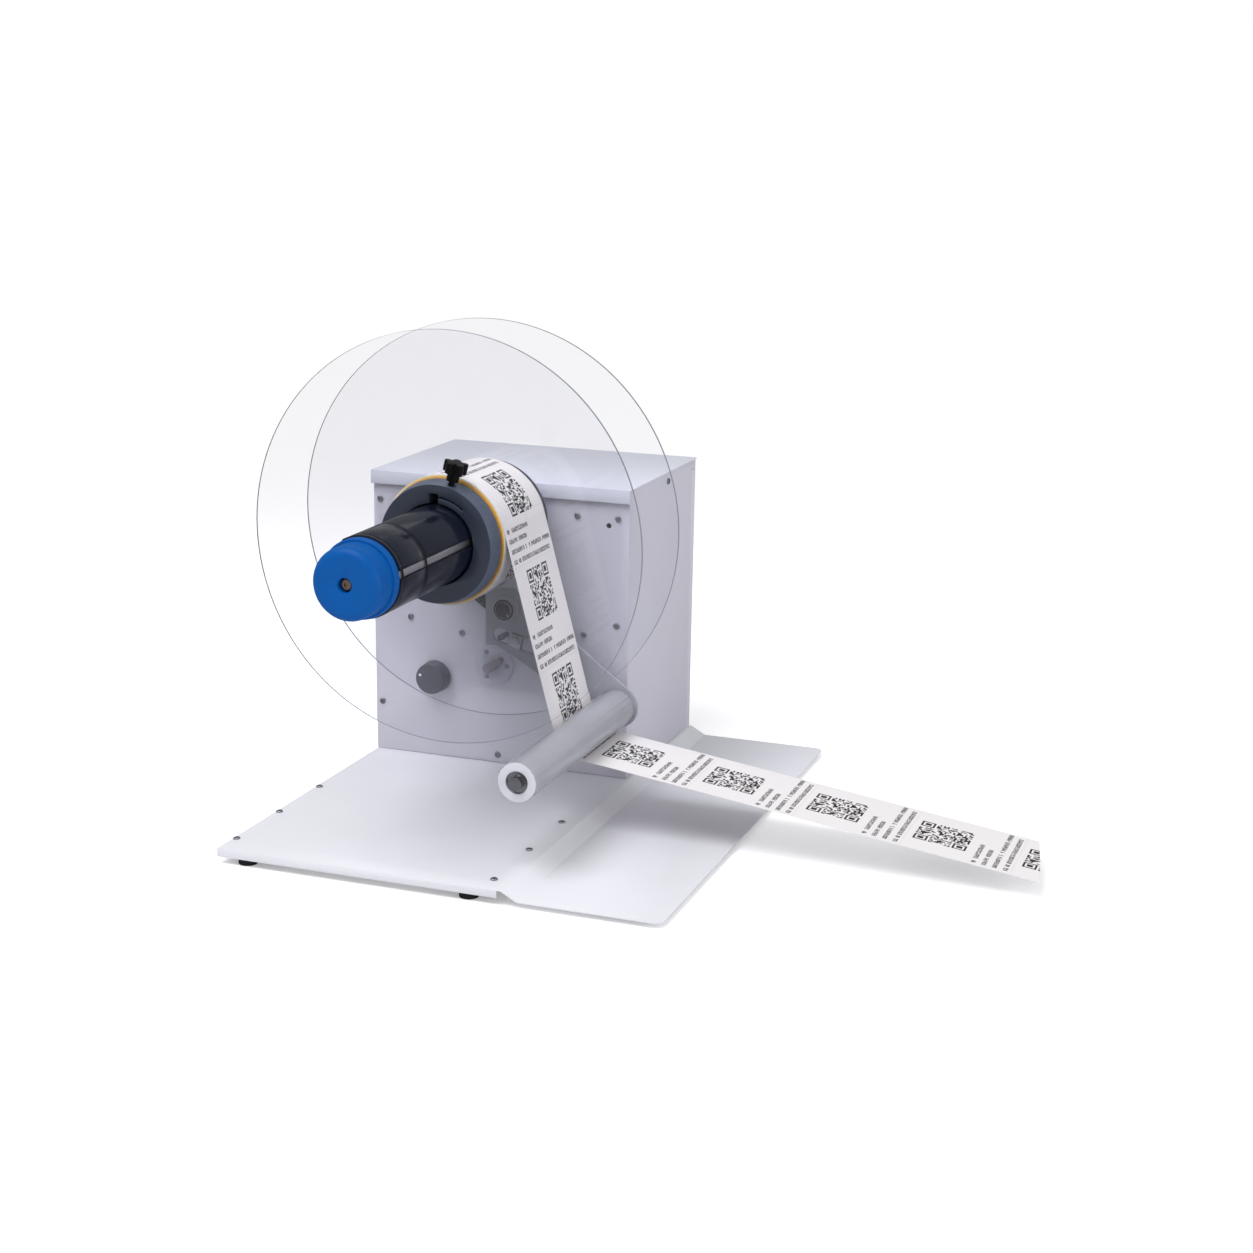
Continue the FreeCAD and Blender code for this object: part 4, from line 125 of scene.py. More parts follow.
def add_node(tree: Tree, kind: str, inputs: dict | None = None) -> Node:
    """Add a node with its settings and links.

    Args:
        tree: the material's or the world's node tree.
        kind: Blender's name of the node.
        inputs: what goes into it, by attribute name, input name or input number.  A socket is
            linked, a node is linked by its first output, and anything else is set.

    Returns:
        The new node.
    """
    node = tree.nodes.new(kind)
    for key, value in (inputs or {}).items():
        if isinstance(value, Node):
            tree.links.new(value.outputs[0], node.inputs[key])
        elif isinstance(value, Socket):
            tree.links.new(value, node.inputs[key])
        elif isinstance(key, str) and hasattr(node, key):
            setattr(node, key, value)
        else:
            node.inputs[key].default_value = value
    return node


MADE: dict[str, bpy.types.Material] = {}


class Lay(Enum):
    """Direction of the fine lines that machining leaves, as lines per metre along x, y and z."""

    ROUND_Y = (60.0, 4000.0, 60.0)
    ALONG_Y = (2500.0, 25.0, 2500.0)


@dataclass(frozen=True)
class Grain:
    """How strongly the patterns of a finish show, each range as least and most."""

    relief: float
    depth_mm: float
    roughness: tuple[float, float]
    shade: tuple[float, float]


@dataclass(frozen=True)
class Finish(ABC):
    """Surface of one kind of piece."""

    name: str
    colour: str

    @abstractmethod
    def surface(self, tree: Tree, place: Socket) -> Socket:
        """Add the nodes of the surface.

        Args:
            tree: the material's node tree.
            place: the piece's own coordinates.

        Returns:
            The shader socket.
        """

    def material(self) -> bpy.types.Material:
        """Make the material of this finish once and share it from then on.

        Returns:
            The material.
        """
        if self.name in MADE:
            return MADE[self.name]
        made = MADE[self.name] = bpy.data.materials.new(self.name)
        made.use_nodes = True
        tree = made.node_tree
        tree.nodes.clear()
        place = add_node(tree, "ShaderNodeTexCoord").outputs["Object"]
        add_node(tree, "ShaderNodeOutputMaterial", {"Surface": self.surface(tree, place)})
        return made

    def shades(self, tree: Tree, factor: Node, dark: float, light: float) -> Socket:
        """Colour of the finish, a little darker or lighter with a factor.

        Args:
            tree: the material's node tree.
            factor: 0 to 1 over the surface.
            dark: brightness where the factor is 0.
            light: brightness where the factor is 1.

        Returns:
            The colour socket.
        """
        ends = [tuple(min(1.0, c * k) for c in linear(self.colour)[:3]) + (1.0,) for k in (dark, light)]
        mix = {"data_type": "RGBA", "Factor": factor, 6: ends[0], 7: ends[1]}
        return add_node(tree, "ShaderNodeMix", mix).outputs[2]

    def grained(self, tree: Tree, shade: Node, relief: Node, grain: Grain, constants: dict) -> Socket:
        """Shader whose colour follows one pattern, and whose relief and sheen follow another.

        Args:
            tree: the material's node tree.
            shade: pattern of darker and lighter places.
            relief: pattern of hollows and heights.
            grain: how strongly both show.
            constants: what is the same all over the surface.

        Returns:
            The shader socket.
        """
        bump = add_node(tree, "ShaderNodeBump", {
            "Strength": grain.relief, "Distance": grain.depth_mm * MM, "Height": relief})
        rough = add_node(tree, "ShaderNodeMapRange", {
            "To Min": grain.roughness[0], "To Max": grain.roughness[1], "Value": relief})
        patterned = {"Base Color": self.shades(tree, shade, *grain.shade), "Roughness": rough, "Normal": bump}
        return add_node(tree, "ShaderNodeBsdfPrincipled", constants | patterned).outputs["BSDF"]


@dataclass(frozen=True)
class PowderCoat(Finish):
    """Polyester powder coat on folded sheet: an even pale colour with a fine orange peel."""

    roughness: float = 0.5
    # The real peel is under a millimetre; it is drawn coarser so that it shows.
    peel_mm: float = 1.6
    patch_mm: float = 90.0

    def surface(self, tree: Tree, place: Socket) -> Socket:
        """Soft broad shading with peel that breaks up the sheen.

        Args:
            tree: the material's node tree.
            place: the piece's own coordinates.

        Returns:
            The shader socket.
        """
        patch = add_node(tree, "ShaderNodeTexNoise", {
            "Scale": 1 / (self.patch_mm * MM), "Detail": 3.0, "Vector": place})
        peel = add_node(tree, "ShaderNodeTexNoise", {
            "Scale": 1 / (self.peel_mm * MM), "Detail": 2.0, "Vector": place})
        sheen = (self.roughness - 0.06, self.roughness + 0.06)
        grain = Grain(relief=0.12, depth_mm=0.2, roughness=sheen, shade=(0.965, 1.03))
        return self.grained(tree, patch, peel, grain, {"IOR": 1.5})


@dataclass(frozen=True)
class Metal(Finish):
    """Bare or plated metal, with the lines of the tool or the rolling mill."""

    lay: Lay = Lay.ROUND_Y
    roughness: float = 0.3

    def surface(self, tree: Tree, place: Socket) -> Socket:
        """Streaked highlights along the lay.

        Args:
            tree: the material's node tree.
            place: the piece's own coordinates.

        Returns:
            The shader socket.
        """
        stretched = add_node(tree, "ShaderNodeMapping", {"Scale": self.lay.value, "Vector": place})
        lines = add_node(tree, "ShaderNodeTexNoise", {"Scale": 1.0, "Detail": 2.0, "Vector": stretched})
        sheen = (self.roughness - 0.08, self.roughness + 0.1)
        grain = Grain(relief=0.12, depth_mm=0.1, roughness=sheen, shade=(0.88, 1.08))
        return self.grained(tree, lines, lines, grain, {"Metallic": 1.0})


@dataclass(frozen=True)
class Moulded(Finish):
    """Injection-moulded plastic: an eroded mould texture and faint flow shading."""

    roughness: float = 0.45
    grain_mm: float = 0.9
    flow_mm: float = 35.0
    grain: float = 0.15
    gloss: float = 0.5

    def surface(self, tree: Tree, place: Socket) -> Socket:
        """Grain in the highlights and slow changes of shade.

        Args:
            tree: the material's node tree.
            place: the piece's own coordinates.

        Returns:
            The shader socket.
        """
        flow = add_node(tree, "ShaderNodeTexNoise", {
            "Scale": 1 / (self.flow_mm * MM), "Detail": 2.0, "Vector": place})
        pits = add_node(tree, "ShaderNodeTexNoise", {
            "Scale": 1 / (self.grain_mm * MM), "Detail": 3.0, "Vector": place})
        sheen = (self.roughness - 0.05, self.roughness + 0.08)
        grain = Grain(relief=self.grain, depth_mm=0.2, roughness=sheen, shade=(0.9, 1.08))
        return self.grained(tree, flow, pits, grain, {"IOR": 1.5, "Specular IOR Level": self.gloss})


@dataclass(frozen=True)
class Rubber(Finish):
    """Vulcanised rubber: dull, dusty in the hollows of its grain."""

    dust_mm: float = 1.5
    rib_mm: float = 0.0

    def surface(self, tree: Tree, place: Socket) -> Socket:
        """Dull dark surface, with cross ribs where the piece is a belt.

        Args:
            tree: the material's node tree.
            place: the piece's own coordinates.

        Returns:
            The shader socket.
        """
        dust = add_node(tree, "ShaderNodeTexNoise", {
            "Scale": 1 / (self.dust_mm * MM), "Detail": 4.0, "Vector": place})
        height = dust.outputs["Fac"]
        if self.rib_mm:
            ribs = add_node(tree, "ShaderNodeTexWave", {
                "bands_direction": "Y", "Scale": 1 / (self.rib_mm * MM) / math.tau, "Vector": place})
            height = ribs.outputs["Fac"]
        bump = add_node(tree, "ShaderNodeBump", {"Strength": 0.4, "Distance": 0.3 * MM, "Height": height})
        return add_node(tree, "ShaderNodeBsdfPrincipled", {
            "Roughness": 0.8, "Base Color": self.shades(tree, dust, 0.7, 1.5),
            "Normal": bump}).outputs["BSDF"]


@dataclass(frozen=True)
class ClearSheet(Finish):
    """Polished cast acrylic: almost nothing but the rim and soft reflections shows."""

    haze_mm: float = 40.0

    def surface(self, tree: Tree, place: Socket) -> Socket:
        """Clear sheet that lets lamps through, with the faint uneven tint of handling.

        Args:
            tree: the material's node tree.
            place: the piece's own coordinates.

        Returns:
            The shader socket.
        """
        haze = add_node(tree, "ShaderNodeTexNoise", {
            "Scale": 1 / (self.haze_mm * MM), "Detail": 3.0, "Vector": place})
        glass = add_node(tree, "ShaderNodeBsdfPrincipled", {
            "IOR": 1.49, "Specular IOR Level": 0.25, "Transmission Weight": 1.0, "Roughness": 0.0,
            "Base Color": self.shades(tree, haze, 0.985, 1.0)})
        shadow = add_node(tree, "ShaderNodeLightPath").outputs["Is Shadow Ray"]
        open_to_lamps = add_node(tree, "ShaderNodeBsdfTransparent", {"Color": linear("#f4f5f7")})
        mix = add_node(tree, "ShaderNodeMixShader", {0: shadow, 1: glass, 2: open_to_lamps})
        return mix.outputs["Shader"]


@dataclass(frozen=True)
class WoundLayers(Finish):
    """Side of a wound roll or a spiral card core: thin rings round the spindle."""

    ring_mm: float = 0.35
    rim: str = "#efe6cf"
    rim_radius_mm: float = 62.3
    rim_width_mm: float = 1.6

    def surface(self, tree: Tree, place: Socket) -> Socket:
        """Rings of slightly different shade, and the paler edge of the last turns.

        Args:
            tree: the material's node tree.
            place: the piece's own coordinates.

        Returns:
            The shader socket.
        """
        axis = row(SPINDLE[0], 0, SPINDLE[1])
        centred = add_node(tree, "ShaderNodeMapping", {"Location": (-axis.x, 0, -axis.z), "Vector": place})
        flat = add_node(tree, "ShaderNodeVectorMath", {"operation": "MULTIPLY", 0: centred, 1: (1, 0, 1)})
        radius = add_node(tree, "ShaderNodeVectorMath", {"operation": "LENGTH", 0: flat}).outputs["Value"]
        count = add_node(tree, "ShaderNodeMath", {
            "operation": "MULTIPLY", 0: radius, 1: 1 / (self.ring_mm * MM)})
        turns = add_node(tree, "ShaderNodeTexNoise", {
            "noise_dimensions": "1D", "Scale": 1.0, "Detail": 2.0, "W": count})
        edge = add_node(tree, "ShaderNodeMapRange", {
            "From Min": (self.rim_radius_mm - self.rim_width_mm) * MM, "From Max": self.rim_radius_mm * MM,
            "Value": radius})
        colour = add_node(tree, "ShaderNodeMix", {
            "data_type": "RGBA", "Factor": edge, 6: self.shades(tree, turns, 0.8, 1.15), 7: linear(self.rim)})
        bump = add_node(tree, "ShaderNodeBump", {"Strength": 0.3, "Distance": 0.2 * MM, "Height": turns})
        return add_node(tree, "ShaderNodeBsdfPrincipled", {
            "Roughness": 0.6, "Base Color": colour.outputs[2], "Normal": bump}).outputs["BSDF"]


@dataclass(frozen=True)
class PrintedLabels(Finish):
    """White label stock with a made-up square pattern and four lines of dashes on each label.

    The piece's UV map holds millimetres: u along the web, v across it from its front edge.
    The square is given by its start along the label, its start across and its side; each line by
    its start along and its length across.  The eyes are the framed squares in its corners, given
    in cells from their middle.
    """

    ink: str = "#121216"
    liner: str = "#d9d5d6"
    pitch: float = 103.0
    gap: float = 0.8
    square: tuple[float, float, float] = (6.0, 27.0, 50.0)
    modules: int = 27
    inked: float = 0.48
    eye_core: float = 1.5
    eye_edge: float = 3.5
    lines: tuple[tuple[float, float], ...] = ((65.5, 50.0), (75.0, 43.0), (85.0, 94.0), (95.0, 89.0))
    margin: float = 5.0
    line_height: float = 4.4
    letter: float = 2.8
    letter_body: float = 0.75
    strokes: tuple[int, int] = (5, 4)
    stroke_share: float = 0.8
    word: float = 10.0
    word_share: float = 0.88
    fibre_mm: float = 2.0

    def speckle(self, tree: Tree, spot: Node, cell: tuple[float, float], share: float) -> Node:
        """Pick cells of a grid at random.

        Args:
            tree: the material's node tree.
            spot: place on the label.
            cell: size of a cell along and across.
            share: share of the cells that is picked.

        Returns:
            1 on the picked cells, else 0.
        """
        scaled = add_node(tree, "ShaderNodeVectorMath", {"operation": "DIVIDE", 0: spot, 1: (*cell, 1.0)})
        corner = add_node(tree, "ShaderNodeVectorMath", {"operation": "FLOOR", 0: scaled})
        dice = add_node(tree, "ShaderNodeTexWhiteNoise", {"noise_dimensions": "2D", "Vector": corner})
        return add_node(tree, "ShaderNodeMath", {"operation": "LESS_THAN", 0: dice, 1: share})

    def reach(self, tree: Tree, spot: Node, middle: tuple[float, float],
              half: tuple[float, float] = (1.0, 1.0)) -> Node:
        """How far a place lies from a rectangle's middle, in half sides: under 1 inside it.

        Args:
            tree: the material's node tree.
            spot: place on the label.
            middle: middle of the rectangle.
            half: half its sides.

        Returns:
            The larger of the two distances, along and across.
        """
        offset = add_node(tree, "ShaderNodeVectorMath", {
            "operation": "MULTIPLY_ADD", 0: spot, 1: (1 / half[0], 1 / half[1], 0.0),
            2: (-middle[0] / half[0], -middle[1] / half[1], 0.0)})
        away = add_node(tree, "ShaderNodeVectorMath", {"operation": "ABSOLUTE", 0: offset})
        sides = add_node(tree, "ShaderNodeSeparateXYZ", {0: away})
        return add_node(tree, "ShaderNodeMath", {
            "operation": "MAXIMUM", 0: sides.outputs["X"], 1: sides.outputs["Y"]})

    def pattern(self, tree: Tree, spot: Node) -> Node:
        """Square of random cells with a framed square in three of its corners.

        Args:
            tree: the material's node tree.
            spot: place on the label.

        Returns:
            1 where there is ink, else 0.
        """
        start, side, size = self.square
        per_mm = self.modules / size
        cells = add_node(tree, "ShaderNodeVectorMath", {
            "operation": "MULTIPLY_ADD", 0: spot, 1: (per_mm, per_mm, 0.0),
            2: (-start * per_mm, -side * per_mm, 0.0)})
        ink = self.speckle(tree, cells, (1.0, 1.0), self.inked)
        near, far = self.eye_edge, self.modules - self.eye_edge
        for corner in ((near, near), (far, near), (near, far)):
            away = self.reach(tree, cells, corner)
            core = add_node(tree, "ShaderNodeMath", {"operation": "LESS_THAN", 0: away, 1: self.eye_core})
            ring = add_node(tree, "ShaderNodeMath", {
                "operation": "COMPARE", 0: away, 1: self.eye_edge - 0.5, 2: 0.5})
            eye = add_node(tree, "ShaderNodeMath", {"operation": "ADD", 0: core, 1: ring})
            clear = add_node(tree, "ShaderNodeMath", {
                "operation": "GREATER_THAN", 0: away, 1: self.eye_edge + 1.0})
            ink = add_node(tree, "ShaderNodeMath", {"operation": "MULTIPLY_ADD", 0: ink, 1: clear, 2: eye})
        middle = self.reach(tree, cells, (self.modules / 2,) * 2, (self.modules / 2,) * 2)
        zone = add_node(tree, "ShaderNodeMath", {"operation": "LESS_THAN", 0: middle, 1: 1.0})
        return add_node(tree, "ShaderNodeMath", {"operation": "MULTIPLY", 0: ink, 1: zone})

    def letters(self, tree: Tree, spot: Node, across: Socket) -> Node:
        """Hint of letters: random strokes, with a gap after each and a blank now and then.

        Args:
            tree: the material's node tree.
            spot: place on the label.
            across: distance from the web's front edge.

        Returns:
            1 where a line of print may have ink, else 0.
        """
        stroke = (self.line_height / self.strokes[0], self.letter / self.strokes[1])
        strokes = self.speckle(tree, spot, stroke, self.stroke_share)
        words = self.speckle(tree, spot, (self.word, self.letter), self.word_share)
        within = add_node(tree, "ShaderNodeMath", {
            "operation": "FLOORED_MODULO", 0: across, 1: self.letter})
        body = add_node(tree, "ShaderNodeMath", {
            "operation": "LESS_THAN", 0: within, 1: self.letter * self.letter_body})
        inked = add_node(tree, "ShaderNodeMath", {"operation": "MULTIPLY", 0: strokes, 1: body})
        return add_node(tree, "ShaderNodeMath", {"operation": "MULTIPLY", 0: inked, 1: words})

    def surface(self, tree: Tree, place: Socket) -> Socket:
        """Matt white paper, thermal print and the faint edge between one label and the next.

        Args:
            tree: the material's node tree.
            place: the piece's own coordinates.

        Returns:
            The shader socket.
        """
        printed = add_node(tree, "ShaderNodeTexCoord").outputs["UV"]
        flat = add_node(tree, "ShaderNodeSeparateXYZ", {0: printed})
        along = add_node(tree, "ShaderNodeMath", {
            "operation": "FLOORED_MODULO", 0: flat.outputs["X"], 1: self.pitch})
        spot = add_node(tree, "ShaderNodeCombineXYZ", {0: along, 1: flat.outputs["Y"]})
        ink = self.pattern(tree, spot)
        letters = self.letters(tree, spot, flat.outputs["Y"])
        for start, length in self.lines:
            half = (self.line_height / 2, length / 2)
            away = self.reach(tree, spot, (start + half[0], self.margin + half[1]), half)
            band = add_node(tree, "ShaderNodeMath", {"operation": "LESS_THAN", 0: away, 1: 1.0})
            ink = add_node(tree, "ShaderNodeMath", {
                "operation": "MULTIPLY_ADD", 0: band, 1: letters, 2: ink})
        edge = add_node(tree, "ShaderNodeMath", {
            "operation": "GREATER_THAN", 0: along, 1: self.pitch - self.gap})
        fibres = add_node(tree, "ShaderNodeTexNoise", {
            "Scale": 1 / (self.fibre_mm * MM), "Detail": 4.0, "Vector": place})
        paper = add_node(tree, "ShaderNodeMix", {
            "data_type": "RGBA", "Factor": edge, 6: self.shades(tree, fibres, 0.97, 1.02),
            7: linear(self.liner)})
        colour = add_node(tree, "ShaderNodeMix", {
            "data_type": "RGBA", "Factor": ink, 6: paper.outputs[2], 7: linear(self.ink)})
        return add_node(tree, "ShaderNodeBsdfPrincipled", {
            "Roughness": 0.5, "IOR": 1.5, "Base Color": colour.outputs[2]}).outputs["BSDF"]


@dataclass(frozen=True)
class CircuitBoard(Finish):
    """Green solder mask over copper tracks."""

    field_colour: str = "#14502c"
    track_colour: str = "#5f9a55"
    track_mm: float = 5.0

    def surface(self, tree: Tree, place: Socket) -> Socket:
        """Glossy green with paler tracks on a grid.

        Args:
            tree: the material's node tree.
            place: the piece's own coordinates.

        Returns:
            The shader socket.
        """
        tracks = add_node(tree, "ShaderNodeTexBrick", {
            "Scale": 1 / (self.track_mm * MM), "Mortar Size": 0.04, "Color1": linear(self.colour),
            "Color2": linear(self.field_colour), "Mortar": linear(self.track_colour), "Vector": place})
        return add_node(tree, "ShaderNodeBsdfPrincipled", {
            "Roughness": 0.3, "Base Color": tracks}).outputs["BSDF"]


# Satin paint on the sheet: pale grey with a breath of lilac, broken up by fine peel.
CASING = PowderCoat("powder_coat_casing", "#c5c4cf")
COVER = PowderCoat("powder_coat_cover", "#d3d5e0", roughness=0.42)
BASE = PowderCoat("powder_coat_base", "#dadae1", roughness=0.42)
ARM = PowderCoat("powder_coat_arm", "#a6a6b0", roughness=0.45)
# Zinc: a cool dull gleam, streaked along the sheet and ringed on the screws.
ZINC = Metal("zinc_plated_sheet", "#b4b6ba", Lay.ALONG_Y, 0.38)
SCREW_STEEL = Metal("zinc_plated_screw", "#a4a4ac", Lay.ROUND_Y, 0.35)
# Aluminium: soft bright highlights, across turned pieces and along drawn ones.
TURNED = Metal("turned_aluminium", "#c4c6ca", Lay.ROUND_Y, 0.32)
DRAWN = Metal("drawn_aluminium", "#cfcdd6", Lay.ALONG_Y, 0.36)
# Ground steel: narrow, nearly mirror-like highlights.
GROUND = Metal("ground_steel", "#a8a8ac", Lay.ROUND_Y, 0.22)
BEARING = Metal("ground_bearing_steel", "#b9b9bd", Lay.ROUND_Y, 0.18)
# Oiled wire is almost black, the washer a pale ring, the bronzed screw a warm dark spot.
SPRING_WIRE = Metal("oiled_spring_wire", "#111114", Lay.ROUND_Y, 0.35)
WASHER = Metal("bright_washer", "#f0f0f2", Lay.ROUND_Y, 0.5)
BRASSY = Metal("bronzed_screw", "#b39a86", Lay.ROUND_Y, 0.4)
# Black pieces: satin enamel, near-matt nylon, and shells so smooth that they mirror the lamps.
MOTOR_PAINT = Moulded("motor_enamel", "#17171a", 0.4)
BLACK_PLASTIC = Moulded("black_nylon", "#08080a", 0.34, gloss=0.2)
MANDREL = Moulded("black_anodised_shell", "#0e1322", 0.16, grain=0.02, gloss=0.5)
# Saturated blue that keeps its colour in the highlights, as soft-touch ABS does.
KNOB_BLUE = Moulded("blue_abs", "#004f98", 0.42, grain=0.05, gloss=0.12)
# Slate nylon shines on its moulded face; its outer side is painted paler, a painted reflection of the white
# surroundings at a grazing angle.
HUB = Moulded("slate_nylon", "#28303f", 0.32, gloss=0.7)
HUB_PAINTED_SHEEN = Moulded("slate_nylon_painted_reflection", "#465064", 0.4, gloss=0.7)
# Acetal: a waxy gleam along the roller, and matt ends painted paler than its side, as painted light on the
# lit end faces.
ROLLER_PLASTIC = Moulded("white_acetal", "#9b9ca4", 0.18, grain=0.03)
ROLLER_END_PAINTED_LIGHT = Moulded("acetal_end_painted_light", "#c8c9d1", 0.5, grain=0.05)
# Controls: dull greys that differ just enough to part knob, plate and pointer, and a white dot.
KNOB_GREY = Moulded("grey_nylon", "#4b4e58", 0.4)
PLATE_GREY = Moulded("pale_grey_abs", "#bcbdca", 0.45)
POINTER = Moulded("taupe_abs", "#8d8690", 0.45)
DOT = Moulded("white_inlay", "#e8e8ea", 0.5)
# Rubber: no highlight at all.
FOOT = Rubber("black_rubber", "#17171a")
RING = Rubber("nitrile_ring", "#060608")
BELT = Rubber("ribbed_belt", "#141416", rib_mm=2.0)
# Acrylic is clear but for its rim, painted an opaque grey as painted shade, which draws a thin grey line.
ACRYLIC = ClearSheet("polished_acrylic", "#fdfdff")
ACRYLIC_EDGE_PAINTED_SHADE = Moulded("acrylic_edge_painted_shade", "#80828d", 0.35, grain=0.05)
# Amber liner edges with a pale rim, brown card, warm white paper, and green board.
ROLL_SIDE = WoundLayers("roll_side", "#f0ae3c", rim="#fbeab8")
CARD = WoundLayers("spiral_card_core", "#a98a62", ring_mm=0.6, rim="#a98a62")
LABELS = PrintedLabels("printed_label_stock", "#e3e0e2")
BOARD = CircuitBoard("circuit_board", "#1a6035")


# Modelling by hand


def only(piece: Piece) -> None:
    """Select one object alone and make it the active one.

    Args:
        piece: the object.
    """
    bpy.ops.object.select_all(action="DESELECT")
    piece.select_set(True)
    bpy.context.view_layer.objects.active = piece


def edit(piece: Piece, wanted: FaceTest | None = None) -> None:
    """Open a piece in edit mode with all its faces selected, or those that a test picks.

    Args:
        piece: the object to open.
        wanted: test of a face's middle and its normal; every face if left out.
    """
    only(piece)
    bpy.ops.object.mode_set(mode="EDIT")
    bpy.ops.mesh.select_mode(type="FACE")
    if wanted is None:
        bpy.ops.mesh.select_all(action="SELECT")
        return
    bpy.ops.mesh.select_all(action="DESELECT")
    bpy.ops.object.mode_set(mode="OBJECT")
    for face in piece.data.polygons:
        face.select = wanted(face.center, face.normal)
    bpy.ops.object.mode_set(mode="EDIT")


def done() -> None:
    """Close edit mode."""
    bpy.ops.object.mode_set(mode="OBJECT")


def settle(piece: Piece) -> None:
    """Move a piece's place, turn and size into its mesh."""
    only(piece)
    bpy.ops.object.transform_apply(location=True, rotation=True, scale=True)


def shade(piece: Piece, degrees: float = 32.0) -> None:
    """Shade smooth, with edges kept sharp past an angle."""
    only(piece)
    bpy.ops.object.shade_smooth_by_angle(angle=math.radians(degrees))


def bevel(piece: Piece, width_mm: float, segments: int = 2, degrees: float = 30.0,
          longest_mm: float = 0.0) -> None:
    """Round a piece's edges by a modifier that is then applied.

    Args:
        piece: the object.
        width_mm: width of the rounding.
        segments: faces across it.
        degrees: least angle of an edge that is rounded.
        longest_mm: edges shorter than this stay as they are, so that small holes keep their shape.
    """
    only(piece)
    modifier = piece.modifiers.new("edges", "BEVEL")
    modifier.width = width_mm * MM
    modifier.segments = segments
    modifier.use_clamp_overlap = False
    if longest_mm:
        mark_long_edges(piece, degrees, longest_mm * MM)
        modifier.limit_method = "WEIGHT"
    else:
        modifier.limit_method = "ANGLE"
        modifier.angle_limit = math.radians(degrees)
    bpy.ops.object.modifier_apply(modifier=modifier.name)


def mark_long_edges(piece: Piece, degrees: float, least: float) -> None:
    """Give a bevel weight to the sharp edges that are long enough.

    Args:
        piece: the object.
        degrees: least angle of a sharp edge.
        least: least length of an edge that is marked, in metres.
    """
    mesh = piece.data
    normals: dict[tuple[int, int], list[Vector]] = {}
    for face in mesh.polygons:
        for key in face.edge_keys:
            normals.setdefault(key, []).append(face.normal)
    weights = mesh.attributes.new("bevel_weight_edge", "FLOAT", "EDGE")
    for edge in mesh.edges:
        start, end = (mesh.vertices[i].co for i in edge.vertices)
        sides = normals.get(tuple(sorted(edge.vertices)), [])
        sharp = len(sides) == 2 and sides[0].angle(sides[1], 0.0) > math.radians(degrees)
        weights.data[edge.index].value = 1.0 if sharp and (end - start).length > least else 0.0


def dress(piece: Piece, finish: Finish) -> None:
    """Give a piece one finish all over."""
    piece.data.materials.clear()
    piece.data.materials.append(finish.material())


def paint(piece: Piece, finish: Finish, wanted: FaceTest) -> None:
    """Give some faces of a dressed piece another finish.

    Args:
        piece: the object.
        finish: the other finish.
        wanted: test of a face's middle and its normal.
    """
    piece.data.materials.append(finish.material())
    for face in piece.data.polygons:
        if wanted(face.center, face.normal):
            face.material_index = len(piece.data.materials) - 1


def dress_nodes(finishes: dict[str, Finish]) -> None:
    """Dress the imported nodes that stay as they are, and report them.

    Args:
        finishes: the finish of each node, by its name.
    """
    for node, finish in finishes.items():
        dress(frame["nodes"][node], finish)
        log.info("%s dressed", node)


def christen(piece: Piece, name: str, finish: Finish) -> None:
    """Name a new piece, dress it and report it.

    Args:
        piece: the finished object.
        name: the piece's name.
        finish: its surface.
    """
    piece.name = piece.data.name = name
    dress(piece, finish)
    log.info("%s made", name)


def deliver(piece: Piece, name: str, finish: Finish, body: str, nodes: Sequence[str] = ()) -> Piece:
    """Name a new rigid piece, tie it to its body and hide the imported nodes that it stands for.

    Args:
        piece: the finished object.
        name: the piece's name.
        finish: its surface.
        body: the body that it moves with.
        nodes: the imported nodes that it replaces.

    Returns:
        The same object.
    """
    christen(piece, name, finish)
    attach(piece, body)
    if nodes:
        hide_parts(*nodes)
    return piece


# Corners this close are one corner, and faces that lean this little from each other are one face.
WELD_MM = 0.002
FLAT_DEGREES = 0.4


def merged_copy(node: str) -> Piece:
    """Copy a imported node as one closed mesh, with its flat faces joined again.

    Args:
        node: the node's name.

    Returns:
        The copy.
    """
    piece = bpy.data.objects.new(node + "_edges", frame["nodes"][node].data.copy())
    bpy.context.scene.collection.objects.link(piece)
    edit(piece)
    bpy.ops.mesh.customdata_custom_splitnormals_clear()
    bpy.ops.mesh.remove_doubles(threshold=WELD_MM * MM)
    bpy.ops.mesh.dissolve_limited(angle_limit=math.radians(FLAT_DEGREES))
    done()
    return piece


@dataclass
class Softened:
    """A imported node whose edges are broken, as those of every real sheet, turning or moulding are."""

    node: str
    finish: Finish
    width_mm: float = 0.4
    segments: int = 2
    longest_mm: float = 0.0
    degrees: float = 30.0

    def build(self) -> Piece:
        """Copy the node, round its edges and stand it in the node's place.

        Returns:
            The piece.
        """
        piece = merged_copy(self.node)
        bevel(piece, self.width_mm, self.segments, self.degrees, self.longest_mm)
        shade(piece)
        bodies = frame["record"]["behaviour"]["bodies"]
        body = next(name for name, nodes in bodies.items() if self.node in nodes)
        return deliver(piece, self.node + "_piece", self.finish, body, [self.node])


class Recess(Enum):
    """Drive of a screw's head."""

    CROSS = "cross"
    SOCKET = "socket"


